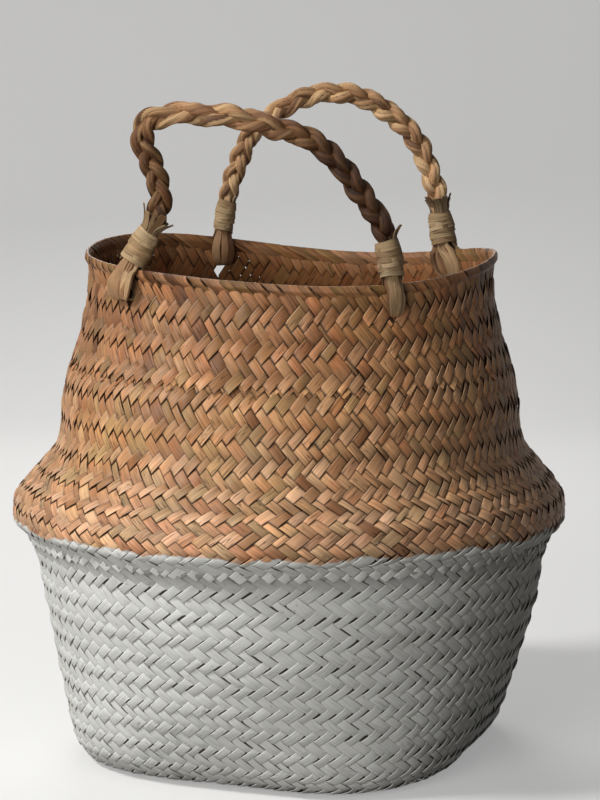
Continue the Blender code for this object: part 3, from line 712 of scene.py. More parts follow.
def strips(lattice, way, look, numbers, low, high, holes=(), ragged=0, sunk=None):
    """All strips of one way (0 leans right, 1 leans left) with the given numbers, between two levels.

    Ragged spreads the lower ends over that many levels. Sunk is a level above which a strip dives in
    behind what overlaps it. Returns points (strip, step, section, 3), the mask of steps that exist, and
    the attributes.
    """
    rng = np.random.default_rng(look.seed)
    count = lattice.count
    halves = int((high - low) / 2) + 4
    half = np.arange(halves)
    colours = draw_colours(look.palette, count, rng)
    lightness = 1 + 0.19 * rng.uniform(-1, 1, (count, halves + 1))
    raised = 1 + look.uneven * rng.uniform(-1, 1, (count, halves + 1))
    tilted = look.slant + look.tilt * rng.normal(0, 1, (count, halves + 1)).clip(-2, 2)
    narrow = look.width * (1 - 0.24 * rng.random((count, halves + 1)) ** 3)
    seeds = rng.uniform(0, 90, count)
    ends = ragged * rng.uniform(-1, 1, count)
    number = np.asarray(numbers)[:, None, None]
    offset = STEP_OFFSETS[None, None, :]
    start = int(low / 2) - 1
    turn = half[None, :, None] + start
    over = np.where(turn % 2 == 0, 1.0, -1.0)
    if way == 0:
        crossed = number + 1 + 2 * turn + offset
    else:
        crossed = number - 2 * turn - offset
        over = -over
    shape = float_shape(offset) * over
    flat = (len(numbers), halves * len(STEP_OFFSETS))
    crossed = np.broadcast_to(crossed, (flat[0], halves, len(STEP_OFFSETS))).reshape(flat)
    shape = np.broadcast_to(shape, (flat[0], halves, len(STEP_OFFSETS))).reshape(flat)
    which = np.repeat(half, len(STEP_OFFSETS))[None, :]
    row = (np.asarray(numbers) % count)[:, None]

    across = SECTION_ACROSS * narrow[row, which][..., None]
    own = np.asarray(numbers)[:, None, None] + 0.5 + across
    other = np.broadcast_to(crossed[..., None], own.shape)
    here = lattice.edge(way, own)
    there = lattice.edge(1 - way, other)
    p, q = (here, there) if way == 0 else (there, here)
    base, outward = lattice.spot(p, q)
    level = q - p
    on_top = np.clip(shape, 0, 1)[..., None]
    height = np.where(shape > 0, look.over * shape * raised[row, which], look.under * shape)
    lift = height[..., None] + look.crown * SECTION_CROWN * (0.3 + 0.7 * on_top)
    lift = lift - (tilted[row, which][..., None] * on_top) * SECTION_ACROSS * 2
    lift = lift + LEAF_THICKNESS * SECTION_UP
    if sunk is not None:
        dive = np.clip((level - sunk) / 1.0, 0, 1)
        lift = lift - SEAM_DIVE * dive**2 * (3 - 2 * dive)
    if ragged:
        dive = np.clip(1 - (level - low - ends[row][..., None]) / 0.7, 0, 1)
        lift = lift + SEAM_LIFT * dive * (1 + np.sin(7 * number))
    points = base + outward * lift[..., None]

    level = level.mean(-1)
    present = (level >= low + ends[row]) & (level <= high)
    middle = base.mean(-2)
    for centre, radius in holes:
        present &= np.linalg.norm(middle - centre, axis=-1) > radius

    travelled = np.linalg.norm(np.diff(middle, axis=1, prepend=middle[:, :1]), axis=-1).cumsum(1) * 1000
    width_mm = np.linalg.norm(base[..., 3, :] - base[..., 0, :], axis=-1) * 1000
    leaf = np.stack([SECTION_ACROSS * width_mm[..., None],
                     np.broadcast_to(travelled[..., None], own.shape),
                     np.broadcast_to(seeds[row][..., None], own.shape)], -1)
    # Edge values: a painted highlight and a painted shadow on a float's long edges.
    edge = np.broadcast_to(EDGE_HIGHLIGHT_AND_SHADE[way], own.shape)
    outside = np.broadcast_to(SECTION_UP > 0, own.shape)
    lie = np.stack([np.broadcast_to(shape[..., None] * 0.5 + 0.5, own.shape), edge, outside], -1)
    along_float = np.broadcast_to(offset, (flat[0], halves, len(STEP_OFFSETS))).reshape(flat)
    # Painted shade along each float: fade darkens it towards its right-hand end, away from the key light.
    shaded = lightness[row, which] * (1 + look.fade * along_float * np.clip(shape, 0, 1))
    dye = colours[row] * shaded[..., None]
    dye = np.broadcast_to(dye[..., None, :], points.shape)
    return points, present, {"leaf": leaf, "lie": lie, "dye": dye}


def weave_pieces(name, lattice, looks, low, high, finish, slot, parts=2, **more):
    """Both ways of a weave, each in a few pieces of neighbouring strips."""
    made = []
    for way, lean in ((0, "right"), (1, "left")):
        for part, numbers in enumerate(np.array_split(np.arange(lattice.count), parts), 1):
            points, present, attributes = strips(lattice, way, looks[way], numbers, low, high, **more)
            quads, caps = ribbon_faces(present, len(SECTION_ACROSS))
            label = f"{name}_strips_{lean}_{part}"
            made.append(piece(label, array_mesh(label, points, quads, caps, **attributes), finish))
    return made


# %% [markdown]
# ## Finish of the leaf
# Up close a leaf strip is a bundle of fine parallel fibres, glossy along them, with a dark crease here
# and there and small stains. All patterns read the strip's own coordinates, millimetres across and along
# it, so the fibres follow every strip. The paint of the lower half is brushed on from outside: it covers
# the tops of the floats, misses the slits between them and stops at an uneven line under the lip.

# %% Leaf, bare and painted
PAINT = linear(215, 216, 214)
PAINT_WORN = linear(194, 193, 186)
STAIN = linear(110, 84, 58)
RUDDY = (1.02, 0.85, 0.77)
OLIVE = (0.96, 0.94, 0.81)
# Painted light and shade by height: the lip and flare keep their colour and the leaf darkens up the neck.
HEIGHT_SHADE_TINTS = ((0.14, (1, 0.96, 0.97)), (0.172, (1, 0.96, 0.97)), (0.2, (0.86, 0.82, 0.77)),
                (0.235, (0.8, 0.72, 0.62)), (0.29, (0.56, 0.455, 0.36)), (0.36, (0.56, 0.45, 0.35)))
HEIGHT_SPAN = 0.36
# Colour of painted shade in the slits where strips dive, also used for the painted edge shadow.
SLIT_SHADE_COLOUR = linear(40, 25, 16)
# Tint of the strips' inner faces: painted shade inside the basket.
INSIDE_SHADE_TINT = (0.86, 0.8, 0.73)
# Colours of painted highlights on float edges, on bare leaf and on paint.
LEAF_HIGHLIGHT_COLOUR = linear(226, 196, 160)
PAINT_HIGHLIGHT_COLOUR = linear(248, 248, 244)
# Grey-brown for grime under the paint and at the foot, and for painted shade on the bowl.
GRIME_AND_SHADE = linear(78, 72, 64)
PAINT_EDGE_HEIGHT = 0.1643
PAINT_EDGE_WANDER = 0.0075
# Heights of the painted shadow that the lip casts on the top of the bowl.
LIP_SHADOW_HEIGHTS = (0.139, 0.153)
DIRTY_FOOT = (0.009, 0.003)


def leaf_finish(name, painted):
    finish = Finish(name)
    leaf = finish.attribute("leaf")
    lie = finish.attribute("lie")
    dye = finish.attribute("dye", "Color")
    place = finish.place()
    fibres = finish.noise(finish.stretch(leaf, (2.6, 0.07, 1)), 1.0, 3.0, 0.6)
    bands = finish.noise(finish.stretch(leaf, (0.55, 0.02, 1)), 1.0, 1.0)
    clouds = finish.noise(place, 34.0, 3.0)
    shade = finish.ramp(fibres, 0.25, 0.75) * 0.34 + finish.ramp(bands, 0.3, 0.7) * 0.26
    shade = shade + finish.ramp(clouds, 0.3, 0.7) * 0.24 + 0.6
    crease = finish.node("ShaderNodeMath", {"operation": "ABSOLUTE"}, {0: bands - 0.5})
    crease = finish.ramp(crease, 0.02, 0.005) * finish.ramp(clouds, 0.38, 0.5)
    shade = shade * (1 - crease * 0.6)
    grey = finish.node("ShaderNodeCombineXYZ", inputs={0: shade, 1: shade, 2: shade})
    colour = finish.mix(1.0, dye, grey, "MULTIPLY")
    drift = finish.ramp(finish.noise(finish.stretch(leaf, (0.06, 0.055, 1)), 1.0, 1.0), 0.42, 0.68)
    ruddy = finish.mix(1.0, colour, (*RUDDY, 1), "MULTIPLY")
    colour = finish.mix(drift * 0.7, colour, ruddy)
    patch = finish.ramp(finish.noise(place, 16.0, 2.0), 0.5, 0.66)
    olive = finish.mix(1.0, colour, (*OLIVE, 1), "MULTIPLY")
    colour = finish.mix(patch * 0.7, colour, olive)
    # Painted shade by height, darker up the neck.
    height = finish.part(place, 2) * (1 / HEIGHT_SPAN)
    stops = [(level / HEIGHT_SPAN, tint) for level, tint in HEIGHT_SHADE_TINTS]
    tint = finish.node("ShaderNodeValToRGB", {"stops": stops}, {0: height})
    colour = finish.mix(1.0, colour, tint, "MULTIPLY")
    stains = finish.ramp(finish.noise(place, 120.0, 2.0), 0.66, 0.74)
    colour = finish.mix(stains * 0.4, colour, (*STAIN, 1))
    outside = finish.part(lie, 2)
    above = finish.part(lie, 0)
    # Painted shade in the slits: a strip is darkened where it sinks into the weave, seen from the face it is on.
    free = above * outside + (1 - above) * (1 - outside)
    slit_shade = finish.ramp(free, 0.8, 0.46)
    # The inner faces get that tint, a painted shade.
    inside_shaded = finish.mix(1.0, colour, (*INSIDE_SHADE_TINT, 1), "MULTIPLY")
    colour = finish.mix(outside, inside_shaded, colour)
    colour = finish.mix(slit_shade * 0.93, colour, (*SLIT_SHADE_COLOUR, 1))
    # Painted shadow on one long edge of a float and painted highlight on the other, on the outer face only.
    edge = finish.part(lie, 1) * outside
    painted_edge_shadow = finish.ramp(edge, -0.1, -1.0)
    painted_edge_highlight = finish.ramp(edge, 0.1, 1.0)
    colour = finish.mix(painted_edge_shadow * 0.9, colour, (*SLIT_SHADE_COLOUR, 1))
    colour = finish.mix(painted_edge_highlight * 0.4, colour, (*LEAF_HIGHLIGHT_COLOUR, 1))
    # Under the paint the leaf is greyed: grime, and a painted shade that greys the gaps between painted floats.
    if painted:
        colour = finish.mix(0.7, colour, (*GRIME_AND_SHADE, 1))

    wander = finish.noise(place, 42.0, 3.0, 0.65)
    line = finish.part(place, 2) + (wander - 0.5) * (2 * PAINT_EDGE_WANDER)
    coat = finish.ramp(line, PAINT_EDGE_HEIGHT + 0.0008, PAINT_EDGE_HEIGHT - 0.0008)
    if painted:
        coat = finish.ramp(line, PAINT_EDGE_HEIGHT + PAINT_EDGE_WANDER, PAINT_EDGE_HEIGHT)
    coat = coat * outside * finish.ramp(above, 0.05, 0.3)
    missed = finish.ramp(finish.noise(place, 210.0, 2.0), 0.7, 0.76)
    coat = coat * (1 - missed * 0.3)
    brushed = finish.mix(finish.ramp(fibres, 0.3, 0.75), (*PAINT_WORN, 1), (*PAINT, 1))
    patches = finish.ramp(finish.noise(place, 22.0, 3.0), 0.35, 0.7)
    brushed = finish.mix(patches * 0.25, brushed, (*PAINT_WORN, 1))
    specks = finish.ramp(finish.noise(place, 150.0, 1.0), 0.74, 0.77)
    brushed = finish.mix(specks * 0.25, brushed, (*STAIN, 1))
    if painted:
        # Painted shadow under the lip: the paint darkens towards the lip.
        lip_shadow = finish.ramp(finish.part(place, 2), *LIP_SHADOW_HEIGHTS)
        brushed = finish.mix(lip_shadow * 0.6, brushed, (*GRIME_AND_SHADE, 1))
        foot = finish.ramp(line, *DIRTY_FOOT)
        brushed = finish.mix(foot * 0.6, brushed, (*GRIME_AND_SHADE, 1))
    # The same painted edge shadow and painted highlight on the paint.
    brushed = finish.mix(painted_edge_shadow * 0.7, brushed, (*GRIME_AND_SHADE, 1))
    brushed = finish.mix(painted_edge_highlight, brushed, (*PAINT_HIGHLIGHT_COLOUR, 1))
    colour = finish.mix(coat, colour, brushed)
    drops = finish.ramp(finish.noise(finish.stretch(place, (1, 1, 1.6)), 260.0, 1.0), 0.775, 0.79)
    near_paint = finish.ramp(finish.part(place, 2), 0.2, 0.165)
    colour = finish.mix(drops * near_paint * (1 - coat), colour, (0.82, 0.82, 0.8, 1))

    relief = fibres * 0.6 - crease * 1.2 + clouds * 0.3
    rough = 0.56 - fibres * 0.25
    finish.set(Base_Color=colour, Roughness=rough + coat * 0.12,
               Normal=finish.bump(relief, 0.00035, 0.7), Specular_IOR_Level=0.16)
    return finish.material


bare_leaf = leaf_finish("bare_leaf", False)
painted_leaf = leaf_finish("painted_leaf", True)

# %% [markdown]
# ## Bowl
# The lower half, under the lip. Its strips that lean right are slack and stand proud, and those that lean
# left are pulled tight and lie flat, so their lifts differ.

# %% Weave the bowl
bowl_looks = (Look(0.00105, 0.0006, 0.00028, 0.00018, 0.00018, 0.3, 0.955, 21),
              Look(0.0006, 0.0003, 0.00005, 0.0001, 0.0001, 0.5, 1.04, 22))
bowl_pieces = weave_pieces("bowl", bowl_lattice, bowl_looks, 0.5, bowl_lattice.top - 0.3, painted_leaf,
                           "painted_leaf")
for made in bowl_pieces:
    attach(made, "bowl")
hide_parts("bowl_wall")

# %% [markdown]
# ## Lip, flare and neck
# The upper half starts under the lip and ends at the rim. Part of the way up, the weaver ran out of strip
# and laid in new, wider ones: a seam of small raised ends goes round the neck there, and fewer strips go on
# above it. When the neck is pushed down, the flare turns inside out; these pieces ride on no body and
# stay at rest.

# %% Weave the upper half
# The last number of each look below is its fade, a painted shade along the floats.
shoulder_looks = (Look(0.00105, 0.0006, 0.00018, 0.00022, 0.00026, 0.35, 1.02, 31, SLACK_PALETTE, -0.2),
                  Look(0.0008, 0.0005, 0.00012, 0.00014, 0.0002, 0.35, 1.05, 32, TIGHT_PALETTE, 0.24))
neck_looks = (Look(0.0012, 0.0006, 0.00018, 0.0003, 0.0003, 0.35, 1.03, 33, SLACK_PALETTE, -0.24),
              Look(0.0009, 0.0005, 0.0001, 0.00018, 0.00022, 0.35, 1.08, 34, TIGHT_PALETTE, 0.28))
BORDER_TUCK = 0.85
upper_pieces = weave_pieces("shoulder", shoulder_lattice, shoulder_looks, 0.2, shoulder_top + 1.6, bare_leaf,
                            "natural_leaf", sunk=shoulder_top - 0.3)
upper_pieces += weave_pieces("neck", neck_lattice, neck_looks, neck_foot - 0.4, neck_lattice.top - BORDER_TUCK,
                             bare_leaf, "natural_leaf", parts=1, ragged=0.45, holes=eyelets)
for made in upper_pieces:
    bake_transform(made)
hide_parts("belly_crease", "flare", "neck_wall")

# %% [markdown]
# ## Rim
# At the mouth the strips are not cut. Each one is bent over the edge and tucked in again, inside and
# outside, so the rim is a row of slanted folds with a thin bright edge on top. A fold is a flat ribbon
# wrapped over that edge: one coordinate runs along the rim, and the other travels up the outer face, round
# a small bead and down the inner face. All points of one step share their travel, so the top edge is
# smooth, and the fold leans because each step is shifted along the rim.

# %% Fold strips over the rim
FOLDS = 88
FOLD_WIDTH = 0.0069
FOLD_LEAN = math.radians(43)
FOLD_LEAN_INSIDE = math.radians(58)
FOLD_OUTSIDE = 0.0098
FOLD_INSIDE = 0.0102
BEAD_RADIUS = 0.0005
FOLD_SHINGLE = 0.0008
FOLD_FREE = 0.0042
FOLD_LIFT = 0.0008
FOLD_TUCK = 0.0017
FOLD_UNEVEN = 0.0001
# Painted shadow across a fold: dark at its left edge, where the fold before casts shade, lighter at the right.
FOLD_EDGE_SHADOW = ((-0.5, 0.3), (-0.42, 0.6), (0.42, 1.1), (0.5, 1.0))
FOLD_STEPS = 24
RIM_PALETTE = SLACK_PALETTE + ((0.14, linear(120, 86, 58)), (0.2, linear(176, 148, 106)))


def wrap(travel):
    """Distance outwards and height above the wall's top edge, for a travel that is 0 on top of the bead."""
    quarter = BEAD_RADIUS * math.pi / 2
    turned = np.clip(travel / BEAD_RADIUS, -math.pi / 2, math.pi / 2)
    beyond = np.maximum(np.abs(travel) - quarter, 0)
    return -BEAD_RADIUS * np.sin(turned), BEAD_RADIUS * np.cos(turned) - beyond


def fold_ribbons():
    """Points, mask and attributes of all folds: (fold, step, section, 3)."""
    rng = np.random.default_rng(41)
    share = np.linspace(-1, 1, FOLD_STEPS)
    travel = np.where(share < 0, FOLD_OUTSIDE, FOLD_INSIDE) * np.sign(share) * np.abs(share) ** 1.9
    inner = np.clip(travel / 0.004 + 0.5, 0, 1)
    lean = FOLD_LEAN + (FOLD_LEAN_INSIDE - FOLD_LEAN) * inner
    shift = np.cumsum(-np.tan(lean) * np.gradient(travel))
    shift -= np.interp(0, travel, shift)
    travel = travel[None, :, None]
    width = FOLD_WIDTH * rng.uniform(0.8, 1.14, FOLDS)[:, None, None]
    slope = 1 + 0.14 * rng.normal(0, 1, FOLDS)[:, None, None]
    sideways = SECTION_ACROSS * width / np.cos(lean)[None, :, None]
    run = shift[None, :, None] * slope + sideways
    outwards, above = wrap(travel)
    number = np.arange(FOLDS)[:, None, None]
    angles = 2 * math.pi * (number + rng.uniform(-0.2, 0.2, FOLDS)[:, None, None]) / FOLDS
    angles = angles + run / (RIM_RADIUS * (1 + MOUTH_DEPTH_SHARE) / 2)
    uneven = FOLD_UNEVEN * rng.normal(0, 1, FOLDS)[:, None, None]
    along = upper_wall.length + above - BEAD_RADIUS - 0.0006 + uneven + 0 * angles
    spot, outward = upper_wall.spot(angles, np.minimum(along, upper_wall.length))
    spot[..., 2] += np.maximum(along - upper_wall.length, 0)
    sink = np.clip((np.abs(travel) - FOLD_FREE) / (FOLD_OUTSIDE - FOLD_FREE), 0, 1)
    below = np.clip(np.abs(travel) / 0.003, 0.1, 1)
    lift = 0.0001 + FOLD_LIFT * np.clip(np.abs(travel) / FOLD_FREE, 0, 1) - FOLD_TUCK * sink
    lift = lift + FOLD_SHINGLE * (0.5 + SECTION_ACROSS) * (1 - 0.5 * sink) * below
    lift = lift + LEAF_THICKNESS * SECTION_UP + 0.0001 * SECTION_CROWN
    side = outwards / BEAD_RADIUS
    points = spot + outward * (outwards + side * lift)[..., None]
    points[..., 2] += np.sqrt(np.clip(1 - side**2, 0, 1)) * lift
    shape = points.shape[:-1]
    leaf = np.stack(np.broadcast_arrays(SECTION_ACROSS * width * 1000, 1400 * travel,
                                        rng.uniform(0, 90, FOLDS)[:, None, None]), -1)
    # Lie's first value sinks at the tucked ends, so they get the painted slit shade.
    lie = np.stack(np.broadcast_arrays(1 - 0.4 * sink, 0 * sideways, 0 * sideways + 1), -1)
    # The folds' dye is dimmed as a whole and darkened across each fold: painted shade.
    dye = draw_colours(RIM_PALETTE, FOLDS, rng) * 0.85
    fold_shadow = np.interp(SECTION_ACROSS, *zip(*FOLD_EDGE_SHADOW))
    dye = dye[:, None, None, :] * fold_shadow[:, None] + np.zeros(points.shape)
    present = np.ones(shape[:2], bool)
    return points, present, {"leaf": np.broadcast_to(leaf, (*shape, 3)),
                             "lie": np.broadcast_to(lie, (*shape, 3)), "dye": dye}


fold_points, fold_present, fold_attributes = fold_ribbons()
quads, caps = ribbon_faces(fold_present, len(SECTION_ACROSS))
rim_folds = piece("rim_folds", array_mesh("rim_folds", fold_points, quads, caps, **fold_attributes),
                  bare_leaf)
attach(rim_folds, "neck")
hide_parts("rim_border")

# %% [markdown]
# ## Finish of the handles
# The strands are bundles of twisted leaf. Their pattern reads a position that goes round the strand, so
# it has no seam: two coordinates on the circle and one along. The straw of the bindings is paler.

# %% Twisted leaf and straw


def bundle_finish(name, across, groove_shade, shine):
    finish = Finish(name)
    leaf = finish.attribute("leaf")
    lie = finish.attribute("lie")
    dye = finish.attribute("dye", "Color")
    place = finish.place()
    fibres = finish.noise(finish.stretch(leaf, (across, 0.06, across)), 1.0, 3.0, 0.65)
    bands = finish.noise(finish.stretch(leaf, (across / 4, 0.02, across / 4)), 1.0, 1.0)
    clouds = finish.noise(place, 60.0, 3.0)
    shade = finish.ramp(fibres, 0.25, 0.75) * 0.4 + finish.ramp(bands, 0.3, 0.7) * 0.3
    shade = shade + finish.ramp(clouds, 0.3, 0.7) * 0.26 + 0.52
    # Painted shade in the grooves: valleys between lobes, and the edges of tapes and flat leaves, are darkened.
    groove = finish.ramp(finish.part(lie, 1), 0.62, 1.0)
    shade = shade * (1 - groove * groove_shade)
    grey = finish.node("ShaderNodeCombineXYZ", inputs={0: shade, 1: shade, 2: shade})
    colour = finish.mix(1.0, dye, grey, "MULTIPLY")
    finish.set(Base_Color=colour, Roughness=shine - fibres * 0.2,
               Normal=finish.bump(fibres - groove * 0.5, 0.0005, 0.8), Specular_IOR_Level=0.14)
    return finish.material


twisted_leaf = bundle_finish("twisted_leaf", 2.4, 0.72, 0.62)
straw_tape = bundle_finish("straw_tape", 1.6, 0.3, 0.66)

# %% [markdown]
# ## Plaits
# Three strands change places all along a handle. Across the handle a strand goes as a sine, through it as
# a sine of twice the pace, each a third of a turn behind the one before. A strand is a bundle of leaves
# twisted together: seen end-on, its outline has five lobes with sharp valleys, and it turns along the way.

# %% Plaited strands
PLAIT_HALF_WIDTH = 0.0043
PLAIT_HALF_DEPTH = 0.0030
STRAND_HALF_WIDTH = 0.0039
STRAND_HALF_DEPTH = 0.0031
BUNDLE_RADIUS = 0.0032
STRAND_LOBES = 5
STRAND_TWIST = 0.052
STRAND_SIDES = 28
STRAND_STEPS = 260
BINDING_FOOT = 0.0068
BINDING_LENGTH = 0.027
PLAIT_OPENING = 0.009


def strand_tube(handle, number, rng):
    """Points (step, side, 3) of one strand, with its attributes.

    The section's radius is that of an ellipse times 0.74 + 0.26 |cos(lobes / 2 * angle)|^0.5.
    """
    bound = BINDING_FOOT + BINDING_LENGTH
    start = BINDING_FOOT + 0.004
    distance = np.linspace(start, handle.length - start, STRAND_STEPS)
    inside = np.minimum(distance, handle.length - distance) - bound
    ramp = np.clip(inside / PLAIT_OPENING, 0, 1)
    opened = ramp**2 * (3 - 2 * ramp)
    late = np.clip(inside / PLAIT_OPENING + 0.45, 0, 1)
    speed = np.interp(distance / handle.length, *zip(*handle.speed))
    turned = np.cumsum(late**2 * (3 - 2 * late) * speed)
    turned /= turned[-1]
    phase = math.pi / 2 + 2 * math.pi * (PLAITS * turned + number / 3)
    centre, _, across, through = handle.at(distance)
    width = BUNDLE_RADIUS + (PLAIT_HALF_WIDTH - BUNDLE_RADIUS) * opened
    depth = BUNDLE_RADIUS + (PLAIT_HALF_DEPTH - BUNDLE_RADIUS) * opened
    wobble = 0.0004 * np.sin(distance * 310 + rng.uniform(0, 6))
    line = centre + across * (width * np.sin(phase) + wobble)[:, None]
    line = line + through * (depth * np.sin(2 * phase))[:, None]
    tangent = unit(np.gradient(line, axis=0))
    out = square_to(through, tangent)
    side = np.cross(tangent, out)
    angle = np.linspace(0, 2 * math.pi, STRAND_SIDES, endpoint=False)[None, :]
    twist = 2 * math.pi * distance[:, None] / STRAND_TWIST + rng.uniform(0, 6)
    turned_angle = angle - twist + 0.35 * np.sin(distance[:, None] * 190 + number)
    lobe = np.abs(np.cos(turned_angle * STRAND_LOBES / 2))
    swell = 1 + 0.1 * np.sin(distance[:, None] * 260 + rng.uniform(0, 6)) + 0.05 * np.sin(2 * turned_angle)
    radius = (0.74 + 0.26 * lobe**0.5) * swell
    flat = (opened * 0.9 + 0.1)[:, None]
    half_width = BUNDLE_RADIUS + (STRAND_HALF_WIDTH - BUNDLE_RADIUS) * flat
    half_depth = BUNDLE_RADIUS + (STRAND_HALF_DEPTH - BUNDLE_RADIUS) * flat
    points = line[:, None] + side[:, None] * (half_width * radius * np.cos(angle))[..., None]
    points = points + out[:, None] * (half_depth * radius * np.sin(angle))[..., None]
    mm = np.broadcast_to(distance[:, None] * 1000 + 40 * number, angle.shape[:0] + points.shape[:2])
    leaf = np.stack([3.4 * np.cos(turned_angle), mm, 3.4 * np.sin(turned_angle)], -1)
    # The second value is the depth of a valley, for painted shade in the grooves.
    lie = np.stack([np.ones_like(lobe), 1 - lobe, np.zeros_like(lobe)], -1)
    leaves = draw_colours(HANDLE_PALETTE, STRAND_LOBES, rng)
    which = np.floor(turned_angle * STRAND_LOBES / (2 * math.pi) + 0.5).astype(int) % STRAND_LOBES
    # Painted shade along the handle, with the leaf's own tone: darker parts are also redder.
    tint = np.interp(distance / handle.length, *zip(*handle.tone_and_shade))
    tint = tint[:, None, None] ** np.array([1.0, 1.17, 1.34])
    return points, {"leaf": leaf, "lie": lie, "dye": leaves[which] * tint}


def tube_mesh(name, points, attributes):
    quads, caps = ribbon_faces(np.ones((1, points.shape[0]), bool), points.shape[1])
    return array_mesh(name, points, quads, caps, **attributes)


def make_plait(handle):
    rng = np.random.default_rng(51 if handle is front_handle else 52)
    for number in range(3):
        points, attributes = strand_tube(handle, number, rng)
        name = f"{handle.name}_plait_strand_{number + 1}"
        strand = piece(name, tube_mesh(name, points, attributes), twisted_leaf)
        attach(strand, f"{handle.name}_handle")
        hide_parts(f"{handle.name}_strand_{number + 1}")


for handle in (front_handle, back_handle):
    make_plait(handle)

# %% [markdown]
# ## The four ends
# No two ends of the handles are alike on the real basket: some bindings are thick at the foot, some fan
# out wide below, and one has a whole crown of leaf ends. These differences are kept in one small table.

# %% What differs between the ends


class End:
    """One end of a handle: radii of its binding at foot and top, width of its fan, and its leaf ends.

    Sweep shifts the fan's foot to the right as the camera sees it, and shade is a painted shade that darkens the
    whole end.
    """

    def __init__(self, handle, far, foot_radius, top_radius, fan, leaves, tuft, tuft_length, tuft_from, sweep,
                 shade):
        self.sweep = sweep
        self.shade = shade
        self.handle = handle
        self.far = far
        self.name = f"{handle.name}_{'right' if far else 'left'}"
        self.foot_radius = foot_radius
        self.top_radius = top_radius
        self.fan = fan
        self.leaves = leaves
        self.tuft = tuft
        self.tuft_length = tuft_length
        self.tuft_from = tuft_from

    def at(self, distance):
        """The handle's frame at a distance from this end, with along pointing away from the end."""
        if not self.far:
            return self.handle.at(distance)
        centre, along, across, through = self.handle.at(self.handle.length - distance)
        return centre, -along, across, through


# The last number of each end is its shade, a painted shade on its tape, fan and leaf ends.
ends = (
    End(front_handle, 0, 0.0080, 0.0069, 0.0088, 6, 7, 0.0125, (2.3, 6.5), -0.0040, 0.9),
    End(front_handle, 1, 0.0062, 0.0070, 0.0050, 4, 2, 0.0070, (-0.5, 0.5), 0.0006, 0.62),
    End(back_handle, 0, 0.0056, 0.0060, 0.0066, 3, 2, 0.0045, (2.0, 3.4), 0.0, 0.8),
    End(back_handle, 1, 0.0078, 0.0070, 0.0125, 8, 9, 0.0105, (0.0, 6.28), 0.0050, 0.72))

# %% [markdown]
# ## Bindings
# A flat straw tape is wound round each end. A turn lies partly on the turn before, so every edge stands a
# little proud, like tiles. The tape is one ribbon along a helix with a tilt.

# %% Wind the bindings
TAPE_WIDTH = 0.0062
TAPE_THICKNESS = 0.00045
TAPE_TURNS = 6
TAPE_TURN_STEPS = 30
TAPE_TILT = 0.0007
TAPE_RAISE = 0.0012


def wound_tape(end, rng):
    """Points (step, section, 3): radius grows with a tilt across the tape, and with slow waves along it."""
    count = TAPE_TURNS * TAPE_TURN_STEPS
    turn = np.linspace(0, 2 * math.pi * TAPE_TURNS, count)
    pitch = (BINDING_LENGTH - TAPE_WIDTH - TAPE_RAISE) / TAPE_TURNS
    uneven = 0.0007 * np.sin(turn * 0.83 + rng.uniform(0, 6)) + 0.0004 * np.sin(turn * 2.1 + rng.uniform(0, 6))
    distance = BINDING_FOOT + TAPE_RAISE + TAPE_WIDTH / 2 + pitch * turn / (2 * math.pi) + uneven
    width = TAPE_WIDTH * (0.92 + 0.12 * np.sin(turn * 0.6 + rng.uniform(0, 6)))
    aside = SECTION_ACROSS * width[:, None]
    where = distance[:, None] + aside
    share = np.clip((where - BINDING_FOOT) / BINDING_LENGTH, 0, 1)
    radius = end.foot_radius + (end.top_radius - end.foot_radius) * share
    radius = radius + 0.0006 * np.sin(math.pi * share) + TAPE_TILT * (0.5 - SECTION_ACROSS)
    radius = radius + 0.0003 * np.sin(turn * 3.3)[:, None] + TAPE_THICKNESS * SECTION_UP
    centre, _, across, through = end.at(where)
    points = centre + across * (1.06 * radius * np.cos(turn)[:, None])[..., None]
    points = points + through * (0.96 * radius * np.sin(turn)[:, None])[..., None]
    length = np.broadcast_to(turn[:, None] * end.foot_radius * 1000, where.shape)
    leaf = np.stack([aside * 1000, length, np.full_like(length, rng.uniform(0, 90))], -1)
    # The second value marks the tape's edges for painted shade.
    lie = np.stack(np.broadcast_arrays(1.0 + 0 * aside, np.abs(SECTION_ACROSS) * 1.8, 0 * aside), -1)
    dye = draw_colours(STRAW_PALETTE, TAPE_TURNS + 1, rng) * end.shade
    dye = dye[(turn / (2 * math.pi)).astype(int)]
    return points, {"leaf": leaf, "lie": lie, "dye": np.broadcast_to(dye[:, None], points.shape)}


for number, end in enumerate(ends):
    points, attributes = wound_tape(end, np.random.default_rng(61 + number))
    name = f"{end.name}_tape"
    tape = piece(name, tube_mesh(name, points, attributes), straw_tape)
    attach(tape, f"{end.handle.name}_handle")
    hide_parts(f"{end.name}_binding")

# %% [markdown]
# ## Roots
# Below its binding the handle opens into flat leaves. They go down astride the rim, spread like a fan,
# meet again at an eyelet in the wall, and pass through it to the other side. So each leaf is a loop, from
# the binding down the outside, through the wall, and up the inside into the same binding. The fans ride
# on no body and stay at rest when a handle swings.

# %% Fan the leaves of a root
ROOT_LEAF_WIDTH = 0.0066
ROOT_LEAF_THICKNESS = 0.0006
ROOT_STEPS = 34


def carried_ribbon(line, broad, width, thickness, seed, colour):
    """A closed ribbon along lines (ribbon, step, 3), broad in a direction, with its attributes."""
    tangent = unit(np.gradient(line, axis=1))
    broad = square_to(broad, tangent)
    thin = np.cross(tangent, broad)
    aside = SECTION_ACROSS * width[..., None]
    lift = SECTION_UP * thickness + 0.12 * SECTION_CROWN * width[..., None]
    points = line[:, :, None] + broad[:, :, None] * aside[..., None] + thin[:, :, None] * lift[..., None]
    along = np.linalg.norm(np.diff(line, axis=1, prepend=line[:, :1]), axis=-1).cumsum(1)[..., None] * 1000
    leaf = np.stack(np.broadcast_arrays(aside * 1000, along, seed[:, None, None]), -1)
    # The second value marks the leaf's edges for painted shade.
    lie = np.stack(np.broadcast_arrays(1.0 + 0 * aside, np.abs(SECTION_ACROSS) * 1.7, 0 * aside), -1)
    dye = np.broadcast_to(colour[:, None, None, :], points.shape)
    return points, {"leaf": leaf, "lie": lie, "dye": dye}


